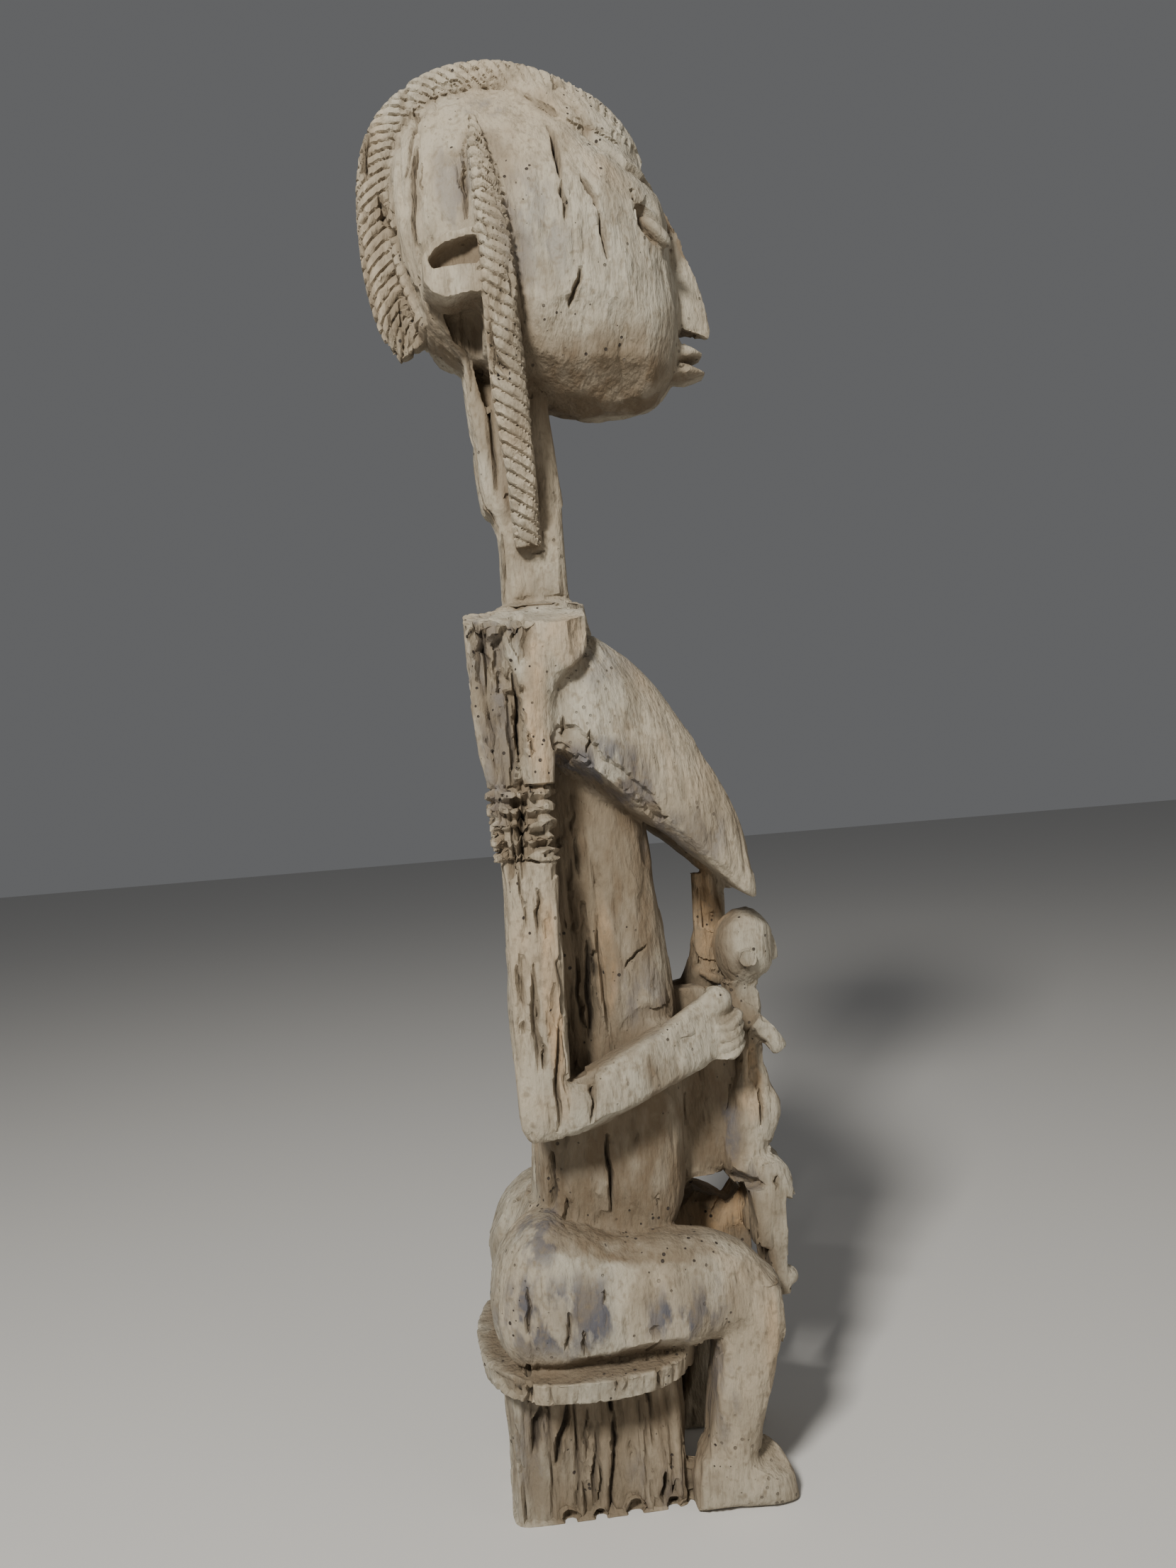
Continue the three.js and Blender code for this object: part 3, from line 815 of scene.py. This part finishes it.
def clear_of_carving(places):
    """How far each place is from fine carving, from 0 upon it to 1 well clear of it."""
    folded = np.column_stack((places[:, 0], np.abs(places[:, 1]), places[:, 2]))
    clear = np.ones(len(places))
    for x, y, z, reach in FINE_PARTS.values():
        away = np.linalg.norm(folded - (x, y, z), axis=1)
        clear = np.minimum(clear, ramp(away, reach * 0.75, reach))
    return clear


def crack_depth(places, normals, order, start, end, outward, width, depth, wander):
    """Depth of one crack on the places it reaches, as their indices and the depth at each."""
    along = end - start
    length = np.linalg.norm(along)
    along = along / length
    across = np.cross(outward, along)
    across /= np.linalg.norm(across)
    lowest, highest = sorted((start[2], end[2]))
    first, last = np.searchsorted(places[order, 2], (lowest - 3 * width, highest + 3 * width))
    near = order[first:last]
    there = places[near] - start
    share = there @ along / length
    bent = wander * np.sin(share * 5.1 + start[0]) + wander * 0.5 * np.sin(share * 12.7 + start[2])
    aside = np.abs(there @ across - bent * (share * (1 - share) * 4).clip(0))
    taper = np.clip(share * (1 - share) * 4, 0, 1) ** 0.45
    half = width / 2 * (0.35 + 0.65 * taper)
    thick = np.abs((there - np.outer(share * length, along)) @ outward) < CRACK_THICKNESS
    facing = normals[near] @ outward > 0.1
    cut_here = np.where(thick & facing, taper * np.clip(1 - (aside / half) ** 2, 0, 1), 0)
    return near, depth * cut_here


def seen_at(skin, across, down):
    """The place on the skin, in the tables' millimetres, that the photo shows at a pixel."""
    right, above, ahead = view_axes()
    aside, rise = across - PHOTO_WIDTH / 2, PHOTO_HEIGHT / 2 - down
    aim = ahead * FOCAL_PIXELS + right * aside + above * rise
    place, *_ = skin.ray_cast(EYE, aim.normalized())
    return None if place is None else (np.array(place) - np.array(SEAT)) / MM


def seen_all(skin, name, *pixels):
    """The places that the photo shows at some pixels, or none if one of them misses the wood."""
    found = [seen_at(skin, *pixel) for pixel in pixels]
    if any(place is None for place in found):
        print("this mark misses the wood:", name)
        return []
    return found


def around(places, skin, marks):
    """For each mark: its strength, each place's distance in its reaches, and how far aside."""
    for name, (across, down, reach, rise, strength) in marks.items():
        for middle in seen_all(skin, name, (across, down)):
            x, y, z = (places - middle).T
            yield strength, (x / reach) ** 2 + (z / rise) ** 2, np.abs(y)


def cracks(places, normals, wear, skin):
    """The cracks that show in the photo, then others on every side where the wood is weathered."""
    order = np.argsort(places[:, 2])
    deepest = np.zeros(len(places))
    toward_camera = np.array((0, -1, 0))

    def add(*crack):
        near, here = crack_depth(places, normals, order, *crack)
        deepest[near] = np.maximum(deepest[near], here)

    for name, (x0, y0, x1, y1, *open_width) in SEEN_CRACKS.items():
        ends = seen_all(skin, name, (x0, y0), (x1, y1))
        if ends:
            hairline = NARROWEST_CRACK + CRACK_WIDENING * np.linalg.norm(ends[1] - ends[0])
            width = open_width[0] if open_width else hairline
            depth = min(width * CRACK_SLENDERNESS, DEEPEST_CRACK)
            add(*ends, toward_camera, width, depth, SEEN_WANDER)
    upright_face = np.abs(normals[:, 2]) < 0.5
    smooth_wood = (wear < 0.42) | (places[:, 0] > 105)

    def scatter(count, odds, lengths, widths, depths):
        for pick in chance.choice(len(places), count, p=odds / odds.sum()):
            length = chance.uniform(*lengths)
            lean = chance.normal(0, 0.06) * length
            outward = normals[pick] * (1, 1, 0)
            outward /= np.linalg.norm(outward)
            side = np.cross((0, 0, 1), outward)
            half = (side * lean + (0, 0, length)) / 2
            width = chance.uniform(*widths)
            depth = width * chance.uniform(*depths)
            add(places[pick] - half, places[pick] + half, outward, width, depth, OTHER_WANDER)

    crack_odds = np.where(upright_face & ~smooth_wood, wear**2, 0)
    gouge_odds = np.where(upright_face, wear**3, 0)
    scatter(OTHER_CRACKS, crack_odds, lengths=(15, 90), widths=(1.6, 4.2), depths=(1.1, 2.4))
    scatter(GOUGES, gouge_odds, lengths=(8, 34), widths=(3.5, 7.5), depths=(0.35, 0.6))
    return deepest


def adze_marks(places, normals, wear):
    """Flat cuts of the blade, mostly upright, which meet in crisp ridges on the smoother wood."""
    order = np.argsort(places[:, 2])
    heights = places[order, 2]
    deepest = np.zeros(len(places))
    odds = np.clip(1.1 - wear * 1.3, 0, 1)
    for pick in chance.choice(len(places), ADZE_CUTS, p=odds / odds.sum()):
        reach = chance.uniform(*ADZE_REACH)
        long_reach = reach * chance.uniform(*ADZE_STRETCH)
        sunk = chance.uniform(*ADZE_SINK)
        middle = places[pick]
        outward = normals[pick]
        stroke = chance.normal((0, 0, 1), 0.35)
        stroke -= outward * (stroke @ outward)
        stroke /= np.linalg.norm(stroke)
        first, last = np.searchsorted(heights, (middle[2] - long_reach, middle[2] + long_reach))
        near = order[first:last]
        there = places[near] - middle
        sideways = there @ np.cross(outward, stroke)
        spread = (there @ stroke / long_reach) ** 2 + (sideways / reach) ** 2
        above = there @ outward
        inside = (np.abs(above) < 6) & (normals[near] @ outward > 0.4)
        shaved = (above + sunk).clip(0, 2.2) * ramp(spread, 1, 0.65)
        deepest[near] = np.maximum(deepest[near], np.where(inside, shaved, 0))
    return deepest * ramp(wear, 0.85, 0.4)


def crest_notches(places):
    """Slanting notches round the crest's edge, and the band that they keep whole."""
    pitch, slant, deep = 8.8, 0.85, 2.6
    broad_band, brow_band = 26, 11
    line = np.array(fair(CREST, 8))[:, :2]
    steps = np.linalg.norm(np.diff(line, axis=0), axis=1)
    lengths = np.concatenate(([0], np.cumsum(steps)))
    run = np.gradient(line, axis=0)
    run /= np.linalg.norm(run, axis=1)[:, None]
    x, y, z = places.T
    near = np.flatnonzero((z > 670) & (x < 118) & (abs(y) < 40))
    flat = places[near][:, (0, 2)]
    nearest = np.argmin(((flat[:, None] - line[None]) ** 2).sum(axis=2), axis=1)
    there = flat - line[nearest]
    along = lengths[nearest] + (there * run[nearest]).sum(axis=1)
    inward = there[:, 0] * -run[nearest, 1] + there[:, 1] * run[nearest, 0]
    groove = incised((along + slant * inward) / pitch)
    toward_brow = ramp(flat[:, 0], 0, 80)
    notched = broad_band - (broad_band - brow_band) * toward_brow
    band = ramp(inward, notched, notched - 5) * ramp(flat[:, 0], 92, 76)
    depth = np.zeros(len(places))
    kept = np.zeros(len(places))
    depth[near] = deep * (1 - 0.6 * toward_brow) * groove * band
    kept[near] = band
    return depth, kept


def crest_step(places):
    """How far the skull lies back below the foot of the crest's tongue."""
    x, y, z = places.T
    foot_x, foot_y = np.array(CREST_FOOT, float).T
    beyond = np.abs(y) - np.interp(x, foot_x, foot_y)
    on_brow = ramp(x, 42, 60) * (z > 765)
    edge = ramp(beyond, 0, 1.2)
    broad = BROAD_STEP * edge * ramp(beyond, 20, 5)
    crisp = CRISP_STEP * edge * ramp(beyond, 4.5, 1.5)
    return (broad + crisp) * on_brow


def incised(phase):
    """A row of cuts, each steep on one side and sloping away on the other."""
    share = phase % 1
    return np.maximum(ramp(share, 0.4, 0) ** 2, ramp(share, 0.9, 1))


def plait_notches(places):
    """Chevrons on the upper plait and plain slanting notches below."""
    chevron_pitch, slant_pitch, lowest_chevron = 7.6, 8.2, 765
    heights, middles, asides, depths, halves = np.array(PLAIT[::-1], float).T
    x, y, z = places.T
    x = x - np.interp(z, heights, middles)
    y = np.abs(y) + np.interp(z, heights, asides)
    half = np.interp(z, heights, halves)
    deep = np.interp(z, heights, depths)
    on_plait = (z > heights[0]) & (z < heights[-1]) & (abs(x) < half + 2) & (y > 0) & (y < deep + 3)
    upper = np.where(x > -2, z + x + 2, z - 0.25 * (x + 2)) / chevron_pitch
    lower = (z + 0.6 * x) / slant_pitch
    phase = np.where(z > lowest_chevron, upper, lower)
    return np.where(on_plait, PLAIT_NOTCH * incised(phase), 0)


def treads(value, steps):
    """Turns a smooth value into flat treads with steep risers."""
    scaled = value * steps
    whole = np.floor(scaled)
    return (whole + ramp(scaled - whole, 0.75, 1)) / steps


def eaten(places, normals, skin):
    """Ragged places where the wood has come away."""
    rough = ripple(places, 11, 26, 9) + 0.5 * ripple(places, 5, 12, 10)
    facing = ramp(normals[:, 1], -0.15, -0.4)
    lost = np.zeros(len(places))
    for depth, away, _ in around(places, skin, ROTTED):
        lost = np.maximum(lost, depth * ramp(away + 0.9 * rough, 1.0, 0.8))
    return lost * facing


def broken_edges(places, normals, skin):
    """Edges that have crumbled away raggedly."""
    rough = ripple(places, 6, 9, 13) + 0.6 * ripple(places, 3, 4, 14)
    facing = ramp(normals[:, 1], 0.1, -0.2)
    lost = np.zeros(len(places))
    for name, (reach, depth, route) in BROKEN_EDGES.items():
        corners = seen_all(skin, name, *route)
        for start, end in zip(corners, corners[1:]):
            edge = end - start
            from_middle = np.linalg.norm(places - (start + end) / 2, axis=1)
            near = np.flatnonzero(from_middle < np.linalg.norm(edge) + reach)
            there = places[near] - start
            share = np.clip(there @ edge / (edge @ edge), 0, 1)
            away = np.linalg.norm(there - np.outer(share, edge), axis=1)
            here = depth * ramp(away + 3 * rough[near], reach, reach - 1.2)
            lost[near] = np.maximum(lost[near], here)
    return lost * facing


def armlet_chips(places):
    """Chips knocked out of the armlet's bands, and the cuts that part them into blocks."""
    blocks, block_width, cut_depth = 12, 10, 2.2
    x, y, z = places.T
    aside = np.abs(y)
    on_band = (z > ARMLET_BOTTOM) & (z < ARMLET_TOP) & (aside > 50) & (x < 9)
    share = (z - ARMLET_BOTTOM) / (ARMLET_TOP - ARMLET_BOTTOM)
    band = np.clip(share * ARMLET_BANDS, 0, ARMLET_BANDS - 1e-6)
    block = (x + 45 + 0.9 * np.abs(aside - ARM_ACROSS) + 3 * np.sin(z * 0.4)) / block_width
    deep = chance.uniform(-2.5, 4.5, (ARMLET_BANDS, blocks)).clip(0)
    chips = deep[band.astype(int), np.clip(block, 0, blocks - 1).astype(int)]
    rows = ramp(np.abs(band % 1 - 0.5), 0.36, 0.48)
    columns = ramp(np.abs(block % 1 - 0.5), 0.38, 0.5)
    return np.where(on_band, chips + cut_depth * np.maximum(rows, columns), 0)


def coloured(places, skin, marks):
    """How strongly each place lies in one of the named patches of colour."""
    thickness = 30
    uneven = 0.7 * ripple(places, 14, 22, 15) + 0.5 * ripple(places, 5, 12, 16)
    share = np.zeros(len(places))
    for strength, away, aside in around(places, skin, marks):
        here = strength * (aside < thickness) * ramp(away + 0.6 * uneven, 1.5, 0.5)
        share = np.maximum(share, here)
    return share


def weather(places, normals, wear):
    """Hollows, checks along the grain and flakes, deepest where the wood is most weathered."""
    x, _, z = places.T
    upright_face = 1 - 0.6 * np.abs(normals[:, 2])
    waves = ripple(places, 30, 70, 1) * (0.3 + 1.1 * wear)
    patch = ripple(places, 45, 80, 2)
    checks = ramp(np.abs(ripple(places, 21, 190, 3)), 0.14, 0.02) * ramp(patch + wear, 0.35, 0.8)
    fine = ramp(np.abs(ripple(places, 9, 90, 4)), 0.22, 0.03) * ramp(wear - patch, 0.2, 0.7)
    flakes = 1 + treads(ripple(places, 12, 60, 5) + 0.4 * ripple(places, 6, 24, 6), 3)
    fibres = FIBRE_DEPTH * ripple(places, 3.5, 30, 7)
    on_post = ramp(z, -14, -24)
    ribs = ramp(np.abs(ripple(places, 21, 150, 17)), 0.4, 0.05) * on_post * ramp(x, 68, 62)
    gouges = RIB_DEPTH * ribs + CHECK_DEPTH * checks + FINE_CHECK_DEPTH * fine
    gouges += FLAKE_DEPTH * flakes * wear**2
    gouges += fibres * wear
    return (waves + gouges * wear**0.7) * upright_face


def read_points(rows, key):
    """Three numbers of each row of a mesh, such as its place or its normal."""
    values = np.empty(len(rows) * 3, np.float32)
    rows.foreach_get(key, values)
    return values.reshape(-1, 3)


def store(mesh, name, values):
    """Keeps a number at each point, for the material to read."""
    layer = mesh.attributes.new(name, "FLOAT", "POINT")
    layer.data.foreach_set("value", values.astype(np.float32))


def age(form):
    """Moves every point of the skin inwards by what the tools and the weather took away there."""
    mesh = form.data
    skin = BVHTree.FromObject(form, bpy.context.evaluated_depsgraph_get())
    points = read_points(mesh.vertices, "co")
    normals = read_points(mesh.vertex_normals, "vector").astype(float)
    places = (points.astype(float) - np.array(SEAT)) / MM
    wear = how_weathered(places)
    clear = clear_of_carving(places)
    lost = weather(places, normals, wear) * (0.3 + 0.7 * clear) + eaten(places, normals, skin)
    lost += broken_edges(places, normals, skin) + armlet_chips(places)
    crest_cuts, crest_band = crest_notches(places)
    notches = crest_cuts + plait_notches(places)
    lost += crest_step(places)
    lost *= 1 - 0.75 * crest_band
    lost += adze_marks(places, normals, wear) * (notches == 0) * clear
    split = cracks(places, normals, wear, skin) * clear
    off_ground = ramp(places[:, 2], -SEAT_HEIGHT + 0.5, -SEAT_HEIGHT + 3)
    upright_face = ramp(np.abs(normals[:, 2]), 0.95, 0.6)
    total = (lost + notches + split) * np.maximum(off_ground, upright_face)
    moved = points - (normals * total[:, None] * MM).astype(np.float32)
    mesh.vertices.foreach_set("co", moved.ravel())
    mesh.update()
    # Depth of splits, notches and loss, which the material paints as shade in the cracks and
    # hollows
    store(mesh, "hollow", split + notches + lost.clip(0) * LOSS_SHADE)
    store(mesh, "wear", wear)
    store(mesh, "stain", coloured(places, skin, STAINS))
    store(mesh, "bare", coloured(places, skin, BARE_WOOD))
    # Patches of painted shade, with some darker brown of the wood
    store(mesh, "brown", coloured(places, skin, SHADE_AND_BROWN_PATCHES))


def note_shelter(form):
    """Keeps at each point how far the wood around shuts it in, from 0 in the open to 1 in a gap,
    for the painted shade in its recesses.
    """
    mesh = form.data
    skin = BVHTree.FromObject(form, bpy.context.evaluated_depsgraph_get())
    golden_angle = math.pi * (3 - math.sqrt(5))
    grazing = 0.1
    rays = []
    for ray in range(SHELTER_RAYS):
        rise = 1 - 2 * (ray + 0.5) / SHELTER_RAYS
        flat = math.sqrt(1 - rise**2)
        turn = ray * golden_angle
        rays.append(Vector((flat * math.cos(turn), flat * math.sin(turn), rise)))
    shut = np.zeros(len(mesh.vertices), np.float32)
    for index, vertex in enumerate(mesh.vertices):
        start = vertex.co + vertex.normal * MM
        met = total = 0
        for ray in rays:
            lift = ray.dot(vertex.normal)
            if lift > grazing:
                total += lift
                if skin.ray_cast(start, ray, SHELTER_REACH * MM)[0] is not None:
                    met += lift
        shut[index] = met / total
    store(mesh, "shelter", evened(mesh, shut))


def evened(mesh, values):
    """Evens out a number at each point with its neighbours, three times over."""
    ends = np.empty(len(mesh.edges) * 2, np.int32)
    mesh.edges.foreach_get("vertices", ends)
    start, end = ends.reshape(-1, 2).T
    for _ in range(3):
        total, count = values.copy(), np.ones(len(values), np.float32)
        for here, there in ((start, end), (end, start)):
            np.add.at(total, here, values[there])
            np.add.at(count, here, 1)
        values = total / count
    return values


def thin_out(form):
    """Takes triangles away down to the finest count."""
    bpy.context.view_layer.update()
    triangles = sum(len(p.vertices) - 2 for p in form.data.polygons)
    fewer = form.modifiers.new("Fewer faces", "DECIMATE")
    fewer.ratio = min(1, FINEST_FACES / triangles)
    fewer.use_collapse_triangulate = True
    apply_all(form)


# The wood's colour, with painted shade

PALE_GREY = (0.345, 0.315, 0.25, 1)
WARM_TAN = (0.34, 0.262, 0.172, 1)
BARE_ORANGE = (0.38, 0.255, 0.14, 1)
STAIN_GREY = (0.085, 0.083, 0.094, 1)
# Painted shade in recesses and under parts, brown like the wood the weather left unbleached there
PAINTED_SHADE_BROWN = (0.135, 0.098, 0.06, 1)
# Old brown of the wood, and also the painted shade of shallow hollows
OLD_BROWN_AND_SHADE = (0.17, 0.135, 0.09, 1)
# Painted shade deep in cracks, notches and worm holes
HOLLOW_SHADE = (0.035, 0.026, 0.019, 1)


def weathered_wood():
    """Bare grey to tan wood, stained, with fibres, and with painted shade in its splits, worm holes
    and recesses and where its own parts shade it.
    """
    wood = bpy.data.materials.new("weathered_wood")
    wood.use_nodes = True
    tree = wood.node_tree
    shader = tree.nodes["Principled BSDF"]

    def add(kind, **values):
        node = tree.nodes.new("ShaderNode" + kind)
        for socket, value in values.items():
            node.inputs[socket].default_value = value
        return node

    def join(source, node, socket):
        tree.links.new(source, node.inputs[socket])

    def noise(scale, detail, rise=None):
        """Noise, drawn out along the grain where rise is less than 1."""
        vector = place
        if rise:
            mapping = add("Mapping", Scale=(1, 1, rise))
            join(place, mapping, "Vector")
            vector = mapping.outputs["Vector"]
        node = add("TexNoise", Scale=scale, Detail=detail)
        join(vector, node, "Vector")
        return node.outputs["Fac"]

    def spread(value, start, end, high=1.0, low=0.0):
        """Low at the start and high at the end."""
        ends = {"From Min": start, "From Max": end, "To Min": low, "To Max": high}
        node = add("MapRange", **ends)
        join(value, node, "Value")
        return node.outputs["Result"]

    def reckon(operation, first, second):
        node = add("Math")
        node.operation = operation
        join(first, node, 0)
        join(second, node, 1)
        return node.outputs["Value"]

    def tint(share, under, over):
        """Lays a colour over another. Sockets 6, 7 and 2 are the two colours and their mixture."""
        node = add("Mix")
        node.data_type = "RGBA"
        join(share, node, "Factor")
        if isinstance(under, tuple):
            node.inputs[6].default_value = under
        else:
            join(under, node, 6)
        node.inputs[7].default_value = over
        return node.outputs[2]

    def measured(name):
        node = add("Attribute")
        node.attribute_name = name
        return node.outputs["Fac"]

    place = add("TexCoord").outputs["Object"]
    fibres = noise(330, 6, 0.3)
    grain = noise(100, 4, 0.07)
    streaks = noise(75, 8, 0.4)
    wear = measured("wear")
    hollow = measured("hollow")
    patch_shade = reckon("MULTIPLY", measured("brown"), spread(streaks, 0.62, 0.44, low=0.6))
    torn = reckon("MULTIPLY", measured("bare"), spread(streaks, 0.3, 0.6, low=0.3))
    stained = reckon("MULTIPLY", measured("stain"), spread(streaks, 0.57, 0.49, low=0.15))
    grained = reckon("MULTIPLY", spread(grain, 0.48, 0.34, 0.5), spread(wear, 0.1, 0.7))
    layers = [
        (spread(noise(11, 4, 0.45), 0.42, 0.66, 0.6), WARM_TAN),
        (spread(noise(26, 5, 0.5), 0.6, 0.72, 0.25), BARE_ORANGE),
        # Painted shade in recesses and between parts, together with the browner sheltered wood
        (spread(measured("shelter"), 0.1, 0.5, 0.92), PAINTED_SHADE_BROWN),
        # The patches of painted shade
        (patch_shade, PAINTED_SHADE_BROWN),
        (torn, BARE_ORANGE),
        (stained, STAIN_GREY),
        (spread(noise(42, 8, 0.6), 0.52, 0.36, 0.5), OLD_BROWN_AND_SHADE),
        (spread(noise(210, 5), 0.47, 0.3, 0.6), OLD_BROWN_AND_SHADE),
        (grained, OLD_BROWN_AND_SHADE),
        (spread(fibres, 0.44, 0.28, 0.55), OLD_BROWN_AND_SHADE),
        # Painted shade in cracks, notches and hollows, darkest in the deepest splits
        (spread(hollow, 1.0, 2.6, 0.5), OLD_BROWN_AND_SHADE),
        (spread(hollow, 3.2, 7.5, 0.75), HOLLOW_SHADE),
    ]
    colour = PALE_GREY
    for share, over in layers:
        colour = tint(share, colour, over)

    # Worm holes, painted with the shade inside them and sunk a little in the bump
    cells = add("TexVoronoi", Scale=150)
    join(place, cells, "Vector")
    radius = spread(cells.outputs["Color"], 0.3, 0.7, 0.19, low=0.07)
    bored = reckon("MULTIPLY", spread(noise(18, 3), 0.49, 0.56), spread(wear, 0.12, 0.3, low=0.25))
    inside = spread(reckon("SUBTRACT", radius, cells.outputs["Distance"]), 0.0, 0.03)
    holes = reckon("MULTIPLY", inside, bored)
    join(tint(holes, colour, HOLLOW_SHADE), shader, "Base Color")

    bump = add("Bump", Strength=0.9, Distance=0.002)
    relief = reckon("ADD", fibres, noise(110, 5, 0.4))
    join(reckon("SUBTRACT", relief, holes), bump, "Height")
    join(bump.outputs["Normal"], shader, "Normal")
    join(spread(fibres, 0.3, 0.7, 0.84, low=0.96), shader, "Roughness")
    return wood


# Camera, light and floor

EYE = Vector((-0.0704, -0.8328, 0.486))
YAW = math.radians(5)
ROLL = math.radians(4.5)
FOCAL_PIXELS = 1662
PHOTO_WIDTH = 1659
PHOTO_HEIGHT = 2212
SENSOR = 36.0
LAMPS_AIM = Vector((0, 0, 0.5))
FLOOR_SIZE = 12
FLOOR_GREY = (0.62, 0.61, 0.59, 1)
ROOM_GREY = (0.75, 0.76, 0.78, 1)
ROOM_LIGHT = 0.17


def view_axes():
    """The camera's right, above and ahead."""
    ahead = Vector((math.sin(YAW), math.cos(YAW), 0))
    level = Vector((math.cos(YAW), -math.sin(YAW), 0))
    up = Vector((0, 0, 1))
    right = level * math.cos(ROLL) - up * math.sin(ROLL)
    above = level * math.sin(ROLL) + up * math.cos(ROLL)
    return right, above, ahead


def camera():
    right, above, ahead = view_axes()
    bpy.ops.object.camera_add()
    eye = bpy.context.object
    eye.name = "camera"
    turn = Matrix((right, above, -ahead)).transposed().to_4x4()
    eye.matrix_world = Matrix.Translation(EYE) @ turn
    eye.data.sensor_width = SENSOR
    eye.data.lens = SENSOR * FOCAL_PIXELS / PHOTO_HEIGHT
    eye.data.clip_start = 0.01
    bpy.context.scene.camera = eye


def lamp(name, place, power, size, colour):
    bpy.ops.object.light_add(type="AREA", location=place)
    light = bpy.context.object
    light.name = name
    light.data.energy = power
    light.data.size = size
    light.data.color = colour
    light.rotation_euler = (LAMPS_AIM - Vector(place)).to_track_quat("-Z", "Y").to_euler()


def studio():
    bpy.ops.mesh.primitive_plane_add(size=FLOOR_SIZE, location=(0, 2, low.z))
    floor = bpy.context.object
    floor.name = "floor"
    paint = bpy.data.materials.new("pale_floor")
    paint.use_nodes = True
    shader = paint.node_tree.nodes["Principled BSDF"]
    shader.inputs["Base Color"].default_value = FLOOR_GREY
    shader.inputs["Roughness"].default_value = 0.9
    floor.data.materials.append(paint)
    lamp("key", (-0.75, -1.6, 1.75), power=72, size=0.35, colour=(1.0, 0.97, 0.91))
    lamp("fill", (1.4, -1.3, 0.9), power=6, size=1.2, colour=(1.0, 0.92, 0.8))
    world = bpy.data.worlds.new("room")
    world.use_nodes = True
    light = world.node_tree.nodes["Background"]
    light.inputs["Color"].default_value = ROOM_GREY
    light.inputs["Strength"].default_value = ROOM_LIGHT
    bpy.context.scene.world = world


def main():
    camera()
    figure = carve_block()
    age(figure)
    thin_out(figure)
    note_shelter(figure)
    bpy.ops.object.shade_smooth_by_angle(angle=math.radians(40))
    figure.data.materials.clear()
    figure.data.materials.append(weathered_wood())
    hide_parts(NODE)
    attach(figure, "root")
    studio()


main()
